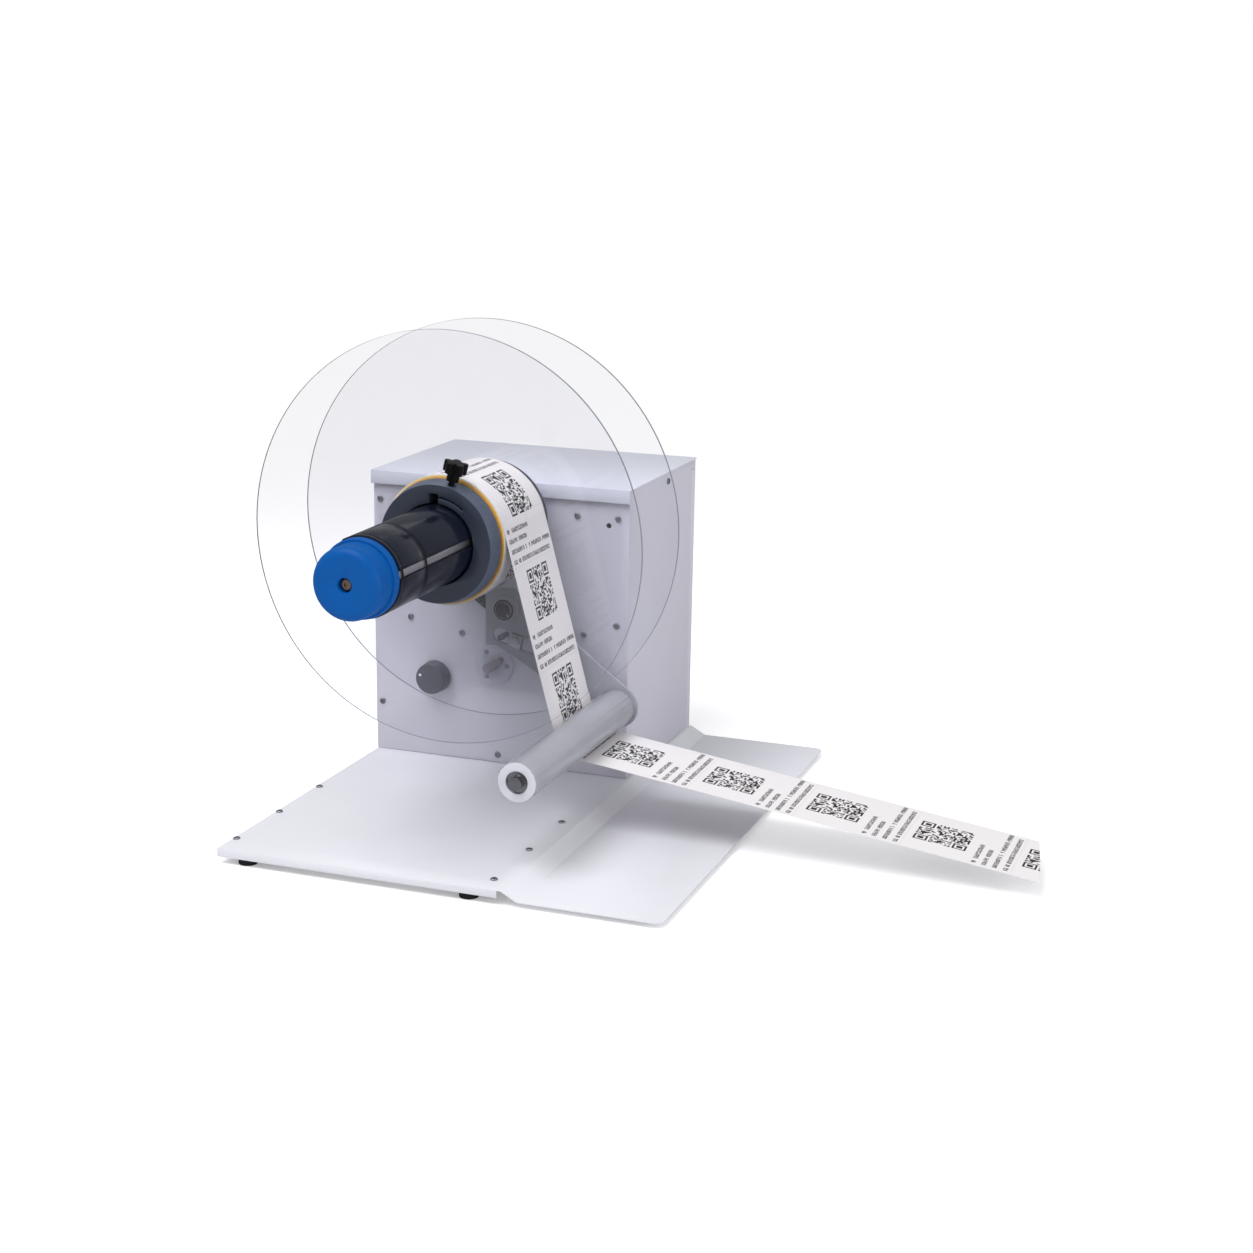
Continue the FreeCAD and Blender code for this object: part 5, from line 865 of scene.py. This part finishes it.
@dataclass
class Screws:
    """Screws of one kind, modelled once and set at each of their places.

    Lengths are millimetres.  The recess is given in parts of the head's radius, and the head's
    crown in parts of its height.  Each screw is turned a little further than the one before.
    """

    name: str
    node: str
    places: list[tuple[Vector, Vector]]
    head_radius: float = 3.3
    head_height: float = 1.6
    shank_radius: float = 2.0
    shank_length: float = 7.0
    socket_reach: float = 0.45
    cross_reach: float = 1.1
    cross_width: float = 0.26
    crown: float = 0.55
    next_turn: float = 0.7
    recess: Recess = Recess.CROSS
    finish: Finish = SCREW_STEEL

    def cutter(self) -> Piece:
        """Make the tool for the recess in the head, which points up.

        Returns:
            The tool.
        """
        top = self.head_height * MM
        if self.recess is Recess.SOCKET:
            bpy.ops.mesh.primitive_cylinder_add(
                vertices=6, radius=self.head_radius * self.socket_reach * MM, depth=top * 1.2,
                location=(0, 0, top))
            return bpy.context.object
        bpy.ops.mesh.primitive_cube_add(size=1, location=(0, 0, top))
        tool = bpy.context.object
        arm = self.head_radius * MM
        tool.scale = (arm * self.cross_reach, arm * self.cross_width, top)
        settle(tool)
        edit(tool)
        bpy.ops.mesh.duplicate()
        bpy.ops.transform.rotate(value=math.radians(90), orient_axis="Z", center_override=(0, 0, top))
        done()
        return tool

    def model(self) -> Piece:
        """Make one screw at the origin, head up, with its shank below.

        Returns:
            The screw.
        """
        height = self.head_height * MM
        bpy.ops.mesh.primitive_cylinder_add(vertices=28, radius=self.head_radius * MM, depth=height,
                                            location=(0, 0, height / 2))
        screw = bpy.context.object
        settle(screw)
        edit(screw, lambda centre, normal: normal.z < -0.9)
        bpy.ops.mesh.inset(thickness=(self.head_radius - self.shank_radius) * MM)
        bpy.ops.mesh.extrude_region_move(TRANSFORM_OT_translate={"value": (0, 0, -self.shank_length * MM)})
        done()
        edit(screw, lambda centre, normal: normal.z > 0.9)
        bpy.ops.mesh.bevel(offset=height * self.crown, segments=3, affect="EDGES")
        done()
        tool = self.cutter()
        cut = screw.modifiers.new("recess", "BOOLEAN")
        cut.operation = "DIFFERENCE"
        cut.solver = "EXACT"
        cut.use_self = True
        cut.object = tool
        only(screw)
        bpy.ops.object.modifier_apply(modifier=cut.name)
        bpy.data.objects.remove(tool)
        return screw

    def build(self) -> None:
        """Set a copy at each place, each turned a little further, and join them into one piece."""
        first = self.model()
        copies = []
        for i, (place, way) in enumerate(self.places):
            copy = bpy.data.objects.new("%s_%d" % (self.name, i), first.data.copy())
            bpy.context.scene.collection.objects.link(copy)
            stand = Matrix.Translation(place) @ way.to_track_quat("Z", "Y").to_matrix().to_4x4()
            copy.matrix_world = stand @ Matrix.Rotation(self.next_turn * i, 4, "Z")
            copies.append(copy)
        bpy.data.objects.remove(first)
        only(copies[0])
        for copy in copies:
            copy.select_set(True)
        bpy.ops.object.join()
        whole = bpy.context.object
        settle(whole)
        shade(whole)
        deliver(whole, self.name, self.finish, "root", [self.node])


# Sub-assemblies


@dataclass
class Casing:
    """Folded casing on its base plate, with all the screws that hold it."""

    width: float = 280.0
    depth: float = 206.0
    base_top: float = 15.0
    base_underside: float = 13.5
    panel_screws: list[tuple[float, float]] = field(default_factory=lambda: [
        (7.3, 284.6), (7.3, 67.7), (268.1, 284.6), (268.1, 175.3), (224.7, 284.6), (233.0, 163.0),
        (41.0, 162.7), (98.7, 151.4), (138.0, 23.8)])
    rear_screws: tuple[tuple[float, float], tuple[float, float]] = ((10.0, 270.0), (55.3, 273.2))
    cover_screw: tuple[float, float] = (115.0, 304.4)
    base_rows: tuple[tuple[float, float], tuple[float, float]] = ((4.5, -141.5), (268.1, -148.7))
    base_pitch: float = 82.7
    floor_screws: tuple[tuple[float, float], tuple[float, float]] = ((24.0, 256.0), (30.0, 176.0))

    def build(self) -> None:
        """Build the sheets with broken edges, then the screws."""
        for node, finish in (("front_panel", CASING), ("left_side_panel", CASING),
                             ("right_side_panel", CASING), ("rear_cover", CASING), ("top_cover", COVER),
                             ("base_plate", BASE)):
            Softened(node, finish, 0.5, longest_mm=4.5, degrees=12.0).build()
        for node in ("base_rail_left", "base_rail_right"):
            Softened(node, ZINC, 0.4, longest_mm=4.5).build()
        Softened("rubber_feet", FOOT, 0.8, 3).build()
        front, back = Vector((0, -1, 0)), Vector((0, 1, 0))
        left, right = Vector((-1, 0, 0)), Vector((1, 0, 0))
        up, down = Vector((0, 0, 1)), Vector((0, 0, -1))
        places = [(row(x, 0, z), front) for x, z in self.panel_screws]
        Screws("panel_screw_heads", "panel_screws", places).build()
        places = [(row(x, self.depth, z), back) for x in self.rear_screws[0] for z in self.rear_screws[1]]
        places += [(row(x, *self.cover_screw), way) for x, way in ((0, left), (self.width, right))]
        Screws("cover_screw_heads", "cover_screws", places).build()
        places = [(row(x, y - i * self.base_pitch, self.base_top), up)
                  for x, y in self.base_rows for i in range(3)]
        places += [(row(x, y, self.base_underside), down)
                   for x in self.floor_screws[0] for y in self.floor_screws[1]]
        Screws("base_screw_heads", "base_screws", places, shank_length=4.5, recess=Recess.SOCKET).build()


@dataclass
class Winder:
    """Spindle, mandrel, knob, hubs and clear flanges."""

    hub_side_mm: float = 55.0

    def build(self) -> None:
        """Soften what is moulded or turned and dress the rest."""
        for i in (1, 2, 3):
            Softened("mandrel_shell_%d" % i, MANDREL, 0.3).build()
        Softened("mandrel_core", DRAWN, 0.25).build()
        Softened("expander_knob", KNOB_BLUE, 0.5).build()
        Softened("knob_screw", BRASSY, 0.3).build()
        # The outer side of the hub is painted paler than its face, as a painted reflection of the
        # surroundings.
        side = self.hub_side_mm * MM
        paint(Softened("front_hub", HUB, 0.5).build(), HUB_PAINTED_SHEEN,
              lambda middle, normal: abs(normal.y) < 0.5 and off_axis(middle, SPINDLE) > side)
        Softened("rear_hub", HUB, 0.5).build()
        Softened("thumb_screw", BLACK_PLASTIC, 0.6, 3, degrees=40).build()
        for node in ("front_disc", "rear_disc"):
            # The rim is painted an opaque grey, painted shade which draws the thin line round each disc.
            paint(Softened(node, ACRYLIC, 0.2, 1).build(), ACRYLIC_EDGE_PAINTED_SHADE,
                  lambda middle, normal: abs(normal.y) < 0.9)
        dress_nodes({"mandrel_rings": RING, "spindle_shaft": GROUND, "spindle_pulley": TURNED,
                     "spindle_housing": TURNED, "spindle_bearings": BEARING, "label_core": CARD})


@dataclass
class Machinery:
    """Drive and electronics inside the casing, and the mains inlet at its back."""

    def build(self) -> None:
        """Dress the inner pieces and soften the inlet, which shows."""
        dress_nodes({"motor_bracket": ZINC, "gearmotor": MOTOR_PAINT, "motor_pulley": TURNED,
                     "drive_belt": BELT, "electronics_bracket": ZINC, "control_board": BOARD,
                     "power_supply": ZINC, "angle_sensor": BLACK_PLASTIC, "speed_pot": BLACK_PLASTIC,
                     "selector_switch": BLACK_PLASTIC})
        Softened("power_inlet", BLACK_PLASTIC, 0.3).build()
        Softened("power_rocker", BLACK_PLASTIC, 0.3).build()


@dataclass
class Dancer:
    """Arm, pivot, stop, spring and guide roller."""

    washer_inside_mm: float = 5.4
    washer_outside_mm: float = 8.6
    spring_post: tuple[float, float, float] = (84.8, -10.0, 223.2)
    spring_pin: tuple[float, float, float] = (131.1, -10.0, 189.3)

    def build(self) -> None:
        """Soften the arm, its stop and the roller, and dress the rest."""
        Softened("dancer_arm", ARM, 0.35, longest_mm=2.5).build()
        Softened("stop_bolt", ZINC, 0.35).build()
        Softened("pivot_housing", TURNED, 0.3).build()
        # The steel washer shows as a bright ring between the black cap and the black screw head.
        inside, outside = self.washer_inside_mm * MM, self.washer_outside_mm * MM
        paint(Softened("pivot_cap", BLACK_PLASTIC, 0.25).build(), WASHER,
              lambda middle, normal: inside < off_axis(middle, PIVOT) < outside)
        # The roller's end faces are painted paler than its side: painted light.
        paint(Softened("guide_roller", ROLLER_PLASTIC, 0.3).build(), ROLLER_END_PAINTED_LIGHT,
              lambda middle, normal: abs(normal.y) > 0.9)
        Softened("roller_shaft", GROUND, 0.4).build()
        Softened("limit_posts", GROUND, 0.4).build()
        Softened("spring_post", GROUND, 0.3).build()
        dress_nodes({"pivot_shaft": GROUND, "pivot_bearings": BEARING, "roller_bearings": BEARING,
                     "roller_clip": GROUND})
        self.spring()

    def spring(self) -> None:
        """Build the coil between the post on the panel and the pin on the arm."""
        coil = merged_copy("dancer_spring")
        shade(coil)
        christen(coil, "dancer_spring_coil", SPRING_WIRE)
        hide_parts("dancer_spring")
        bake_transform(coil)


@dataclass
class Controls:
    """Speed knob and mode selector on the front panel."""

    speed: tuple[float, float] = (69.4, 102.3)
    dot_radius: float = 1.5
    dot_height: float = 0.6
    dot_reach: float = 11.5
    dot_angle: float = 162.0
    knob_face: float = -16.3
    selector: tuple[float, float] = (135.6, 121.7)
    plate_face: float = -4.0
    screw_circle: float = 15.0

    def build(self) -> None:
        """Soften both controls, set the dot in the knob's face and screw the plate on."""
        Softened("speed_knob", KNOB_GREY, 1.0, 3).build()
        Softened("selector_plate", PLATE_GREY, 0.6).build()
        Softened("selector_knob", POINTER, 0.7, 3).build()
        self.dot()
        places = []
        for turn in (0, math.tau / 3, 2 * math.tau / 3):
            x, z = self.round_from(self.selector, self.screw_circle, turn)
            places.append((row(x, self.plate_face, z), Vector((0, -1, 0))))
        Screws("selector_screw_heads", "selector_screws", places, 2.4, 1.1, 1.5, 9.0).build()

    def round_from(self, centre: tuple[float, float], reach: float, turn: float) -> tuple[float, float]:
        """Point at a distance and an angle from a centre."""
        return centre[0] + reach * math.cos(turn), centre[1] + reach * math.sin(turn)

    def dot(self) -> None:
        """Build the white pointer dot, a little proud of the knob's face."""
        x, z = self.round_from(self.speed, self.dot_reach, math.radians(self.dot_angle))
        bpy.ops.mesh.primitive_cylinder_add(
            vertices=24, radius=self.dot_radius * MM, depth=self.dot_height * MM,
            location=row(x, self.knob_face, z), rotation=(math.radians(90), 0, 0))
        dot = bpy.context.object
        settle(dot)
        bevel(dot, 0.2, 2)
        shade(dot)
        deliver(dot, "speed_knob_dot", DOT, "speed_control")


@dataclass
class Web:
    """Labels on their liner: outer turn of the roll, run to the roller, wrap and last run.

    Lengths are millimetres.  The web falls by an angle in degrees after the roller, and its loose
    end is cut between two points, one on each edge.
    """

    roll_radius: float = 63.2
    roller_radius: float = 19.2
    thickness: float = 0.3
    front: float = -142.7
    back: float = -40.7
    fall: float = 7.8
    end_front: float = 724.7
    end_rear: float = 707.7
    first_square: float = 20.0
    bend: float = 190.0
    turn_steps: int = 96
    wrap_steps: int = 24
    run_cuts: int = 48

    def __post_init__(self) -> None:
        """Work out where the web leaves the roll, meets the roller and parts from it."""
        centre, roller = Vector((SPINDLE[0], 0, SPINDLE[1])), Vector((ROLLER[0], 0, ROLLER[1]))
        apart = roller - centre
        crossing = math.acos((self.roll_radius + self.roller_radius) / apart.length)
        lean = math.atan2(apart.z, apart.x) + crossing
        self.normal = Vector((math.cos(lean), 0, math.sin(lean)))
        self.leave = centre + self.normal * self.roll_radius
        self.meet = roller - self.normal * self.roller_radius
        fall = math.radians(self.fall)
        self.down = Vector((-math.sin(fall), 0, -math.cos(fall)))
        self.ahead = Vector((math.cos(fall), 0, -math.sin(fall)))
        self.part = roller + self.down * self.roller_radius
        self.wrap_angle = (-self.normal).angle(self.down)
        self.first_length = (self.meet - self.leave).length
        self.wrap_length = self.wrap_angle * self.roller_radius
        self.phase = LABELS.square[0] - self.first_square - self.first_length - self.wrap_length

    def build(self) -> None:
        """Build the roll, then the four stretches of the web in path order."""
        roll = merged_copy("label_roll")
        shade(roll)
        deliver(roll, "label_roll_layers", ROLL_SIDE, "spindle", ["label_roll"])
        self.outer_turn()
        self.run("web_from_roll", self.leave, self.meet, 0.0)
        self.wrap()
        last = self.part + self.ahead * ((self.end_front + 1 - self.part.x) / self.ahead.x)
        before = self.first_length + self.wrap_length
        self.run("web_out", self.part, last, before, loose=True)

    def outer_turn(self) -> None:
        """Build the outer turn of the roll, which turns with the spindle."""
        outer = self.turn_about(SPINDLE, self.leave, math.tau, self.turn_steps)
        self.outward(outer, SPINDLE, True)
        self.thicken(outer)
        zero = math.atan2(self.normal.z, self.normal.x)
        self.lay(outer, lambda point: -self.roll_radius * ((angle_about(point, SPINDLE) - zero) % math.tau))
        self.mend_seam(outer)
        shade(outer)
        deliver(outer, "label_roll_outer_turn", LABELS, "spindle")

    def wrap(self) -> None:
        """Build the stretch that lies round the guide roller."""
        wrap = self.turn_about(ROLLER, self.meet, -self.wrap_angle, self.wrap_steps)
        self.outward(wrap, ROLLER, False)
        self.thicken(wrap)
        begin = math.atan2(-self.normal.z, -self.normal.x)
        # Points just before the start stay just before it, and don't come out a whole turn further.
        slack = 0.1
        self.lay(wrap, lambda point: self.first_length + self.roller_radius * (
            (angle_about(point, ROLLER) - begin + slack) % math.tau - slack))
        shade(wrap)
        deliver(wrap, "web_round_roller", LABELS, "dancer", ["label_web"])

    def run(self, name: str, start: Vector, end: Vector, before: float,
            loose: bool = False) -> None:
        """Build a straight run between two points of the path.

        Args:
            name: the piece's name.
            start: point of the path in panel millimetres.
            end: point of the path in panel millimetres.
            before: length of the web before the start.
            loose: whether the run ends in the open.
        """
        way = end - start
        ahead = way.normalized()
        strip = self.strip(way.length)
        middle = (self.front + self.back) / 2
        turn = Matrix.Rotation(-math.atan2(way.z, way.x), 4, "Y")
        strip.matrix_world = Matrix.Translation(row(start.x, middle, start.z)) @ turn
        settle(strip)
        if loose:
            self.cut_end(strip)
        self.thicken(strip)
        begin = row(start.x, 0, start.z)
        self.lay(strip, lambda point: before + (point - begin).dot(ahead) / MM)
        christen(strip, name, LABELS)
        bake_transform(strip)

    def strip(self, length: float) -> Piece:
        """Make a flat strip along +x from the origin, printed side up, as wide as the web.

        Args:
            length: its length in millimetres.

        Returns:
            The strip.
        """
        bpy.ops.mesh.primitive_plane_add(size=1, location=(0, 0, 0))
        strip = bpy.context.object
        strip.scale = (length * MM, (self.back - self.front) * MM, 1)
        strip.location = (length / 2 * MM, 0, 0)
        settle(strip)
        edit(strip)
        bpy.ops.mesh.subdivide(number_cuts=self.run_cuts)
        done()
        return strip

    def cut_end(self, strip: Piece) -> None:
        """Cut the loose end off at a slant.

        Args:
            strip: the loose run, before it gets its thickness.
        """
        front, rear = row(self.end_front, self.front, 0), row(self.end_rear, self.back, 0)
        along = rear - front
        edit(strip)
        bpy.ops.mesh.bisect(plane_co=front, plane_no=(along.y, -along.x, 0), clear_outer=True)
        done()

    def turn_about(self, axis: tuple[float, float], start: Vector, angle: float, steps: int) -> Piece:
        """Spin a line that lies across the web into a curved sheet.

        Args:
            axis: the axis it is spun about.
            start: point of the path where the line stands.
            angle: how far it is spun, in radians.
            steps: faces along the sheet.

        Returns:
            The sheet.
        """
        bpy.ops.mesh.primitive_plane_add(size=1, location=(0, 0, 0))
        sheet = bpy.context.object
        only(sheet)
        bpy.ops.object.mode_set(mode="EDIT")
        bpy.ops.mesh.select_mode(type="VERT")
        bpy.ops.mesh.select_all(action="DESELECT")
        bpy.ops.object.mode_set(mode="OBJECT")
        for vertex in sheet.data.vertices:
            vertex.select = vertex.co.x > 0
        bpy.ops.object.mode_set(mode="EDIT")
        bpy.ops.mesh.delete(type="VERT")
        bpy.ops.mesh.select_all(action="SELECT")
        # What is left is the plane's left edge, half a metre to the left of the origin.
        place = row(start.x, (self.front + self.back) / 2, start.z) - Vector((-0.5, 0, 0))
        bpy.ops.transform.resize(value=(1, (self.back - self.front) * MM, 1), center_override=(0, 0, 0))
        bpy.ops.transform.translate(value=place)
        bpy.ops.mesh.spin(steps=steps, angle=angle, center=row(axis[0], 0, axis[1]), axis=(0, 1, 0))
        bpy.ops.mesh.select_all(action="SELECT")
        bpy.ops.mesh.remove_doubles(threshold=0.001 * MM)
        done()
        return sheet

    def outward(self, sheet: Piece, axis: tuple[float, float], out: bool) -> None:
        """Turn a curved sheet's faces away from its axis, or towards it.

        Args:
            sheet: the sheet.
            axis: its axis.
            out: whether the faces look away from the axis.
        """
        face = sheet.data.polygons[0]
        away = face.center - row(axis[0], 0, axis[1])
        away.y = 0
        if (face.normal.dot(away) > 0) != out:
            edit(sheet)
            bpy.ops.mesh.flip_normals()
            done()

    def thicken(self, piece: Piece) -> None:
        """Give a sheet the web's thickness behind its printed face.

        Args:
            piece: the sheet.
        """
        only(piece)
        wall = piece.modifiers.new("wall", "SOLIDIFY")
        wall.thickness = self.thickness * MM
        wall.offset = -1.0
        bpy.ops.object.modifier_apply(modifier=wall.name)

    def lay(self, piece: Piece, along: Callable[[Vector], float]) -> None:
        """Write the UV map in millimetres: along the web, and across it from its front edge.

        Args:
            piece: the sheet.
            along: distance from where the web leaves the roll, in millimetres, of a point in metres.
        """
        layer = piece.data.uv_layers.active or piece.data.uv_layers.new(name="web")
        front = row(0, self.front, 0).y
        for loop in piece.data.loops:
            point = piece.data.vertices[loop.vertex_index].co
            layer.data[loop.index].uv = (along(point) + self.phase, (point.y - front) / MM)

    def mend_seam(self, outer: Piece) -> None:
        """Keep the pattern whole on the face where the angle starts again at zero.

        Args:
            outer: the outer turn, with its UV map.
        """
        layer = outer.data.uv_layers.active
        around = math.tau * self.roll_radius
        for face in outer.data.polygons:
            values = [layer.data[i].uv.x for i in face.loop_indices]
            if max(values) - min(values) > around / 2:
                for i in face.loop_indices:
                    if layer.data[i].uv.x > max(values) - around / 2:
                        layer.data[i].uv.x -= around


# Studio


@dataclass
class Studio:
    """Pale floor, white surroundings, soft lamps and the camera."""

    camera_place: tuple[float, float, float] = (0.653348, -1.929754, 0.713087)
    yaw: float = 19.5357
    pitch: float = -14.2154
    roll: float = 0.9838
    lens_mm: float = 62.759
    sensor_mm: float = 36.0
    ambient: float = 0.64
    mirrored: float = 0.3
    floor_fade: tuple[float, float] = (0.7, 2.2)
    floor_glow: float = 0.3
    lamps_aim: tuple[float, float, float] = (-0.1, 0.0, 0.15)

    def build(self) -> None:
        """Build everything that isn't part of the object."""
        self.floor()
        self.world()
        self.lamp("key", (-0.7, -1.2, 2.6), size=1.6, watts=56.0)
        self.lamp("fill", (2.4, -0.8, 0.7), size=1.4, watts=20.0)
        self.camera()
        bpy.context.scene.view_settings.view_transform = "Standard"

    def floor(self) -> None:
        """Build a plain pale floor that fades into the white behind it and keeps the shadow."""
        bpy.ops.mesh.primitive_plane_add(size=30, location=(0, 0, 0))
        floor = bpy.context.object
        floor.name = "studio_floor"
        made = bpy.data.materials.new("studio_floor")
        made.use_nodes = True
        tree = made.node_tree
        tree.nodes.clear()
        place = add_node(tree, "ShaderNodeTexCoord").outputs["Object"]
        away = add_node(tree, "ShaderNodeVectorMath", {"operation": "LENGTH", 0: place}).outputs["Value"]
        far = add_node(tree, "ShaderNodeMapRange", {
            "interpolation_type": "SMOOTHSTEP", "From Min": self.floor_fade[0],
            "From Max": self.floor_fade[1], "Value": away})
        matt = add_node(tree, "ShaderNodeBsdfDiffuse", {"Color": linear("#f4f4f6")})
        glow = add_node(tree, "ShaderNodeEmission", {"Color": (1, 1, 1, 1), "Strength": self.floor_glow})
        near = add_node(tree, "ShaderNodeAddShader", {0: matt, 1: glow})
        white = add_node(tree, "ShaderNodeEmission", {"Color": (1, 1, 1, 1), "Strength": 1.0})
        seen = add_node(tree, "ShaderNodeMixShader", {0: far, 1: near, 2: white})
        # In glossy pieces the floor is a duller grey, so that they keep their own colour.
        dull = add_node(tree, "ShaderNodeBsdfDiffuse", {"Color": linear("#9a9aa0")})
        glossy = add_node(tree, "ShaderNodeLightPath").outputs["Is Glossy Ray"]
        unseen = add_node(tree, "ShaderNodeMixShader", {0: glossy, 1: matt, 2: dull})
        mix = add_node(tree, "ShaderNodeMixShader", {0: self.seen_directly(tree), 1: unseen, 2: seen})
        add_node(tree, "ShaderNodeOutputMaterial", {"Surface": mix})
        floor.data.materials.append(made)

    def seen_directly(self, tree: Tree) -> Node:
        """Tell what the camera sees, also through glass, from light and reflections on the object.

        Args:
            tree: the floor's or the world's node tree.

        Returns:
            1 for rays from the camera, else 0.
        """
        path = add_node(tree, "ShaderNodeLightPath").outputs
        through = add_node(tree, "ShaderNodeMath", {
            "operation": "MAXIMUM", 0: path["Is Camera Ray"], 1: path["Is Transmission Ray"]})
        bounces = add_node(tree, "ShaderNodeMath", {
            "operation": "ADD", 0: path["Diffuse Depth"], 1: path["Glossy Depth"]})
        first = add_node(tree, "ShaderNodeMath", {"operation": "LESS_THAN", 0: bounces, 1: 0.5})
        return add_node(tree, "ShaderNodeMath", {"operation": "MULTIPLY", 0: through, 1: first})

    def world(self) -> None:
        """Make white surroundings, softer as a light than as a backdrop, dimmer still in reflections."""
        world = bpy.data.worlds.new("studio")
        bpy.context.scene.world = world
        world.use_nodes = True
        tree = world.node_tree
        tree.nodes.clear()
        depth = add_node(tree, "ShaderNodeLightPath").outputs["Glossy Depth"]
        unseen = add_node(tree, "ShaderNodeMapRange", {
            "To Min": self.ambient, "To Max": self.mirrored, "Value": depth})
        strength = add_node(tree, "ShaderNodeMix", {"Factor": self.seen_directly(tree), 2: unseen, 3: 1.0})
        light = add_node(tree, "ShaderNodeBackground", {"Color": (1, 1, 1, 1), "Strength": strength})
        add_node(tree, "ShaderNodeOutputWorld", {"Surface": light})

    def lamp(self, name: str, place: tuple[float, float, float], size: float, watts: float) -> None:
        """Hang a square soft box that faces the object.

        Args:
            name: the lamp's name.
            place: where it hangs.
            size: length of its side.
            watts: its power.
        """
        data = bpy.data.lights.new(name, "AREA")
        data.size = size
        data.energy = watts
        lamp = bpy.data.objects.new(name, data)
        lamp.location = place
        lamp.rotation_euler = (Vector(self.lamps_aim) - Vector(place)).to_track_quat("-Z", "Y").to_euler()
        bpy.context.scene.collection.objects.link(lamp)

    def camera(self) -> None:
        """Set the camera at the photograph's place, turn and focal length."""
        yaw, pitch, roll = (math.radians(angle) for angle in (self.yaw, self.pitch, self.roll))
        ahead = Vector((-math.sin(yaw) * math.cos(pitch), math.cos(yaw) * math.cos(pitch), math.sin(pitch)))
        level = Vector((math.cos(yaw), math.sin(yaw), 0))
        upright = level.cross(ahead)
        right = level * math.cos(roll) + upright * math.sin(roll)
        up = upright * math.cos(roll) - level * math.sin(roll)
        data = bpy.data.cameras.new("camera")
        data.sensor_width = self.sensor_mm
        data.lens = self.lens_mm
        camera = bpy.data.objects.new("camera", data)
        turn = Matrix((right, up, -ahead)).transposed().to_4x4()
        camera.matrix_world = Matrix.Translation(Vector(self.camera_place)) @ turn
        bpy.context.scene.collection.objects.link(camera)
        bpy.context.scene.camera = camera


def main() -> None:
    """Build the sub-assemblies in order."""
    logging.basicConfig(level=logging.INFO, format="%(name)s: %(message)s")
    for part in (Casing(), Winder(), Machinery(), Dancer(), Controls(), Web(), Studio()):
        log.info("building %s", type(part).__name__)
        part.build()


if __name__ == "__main__":
    main()
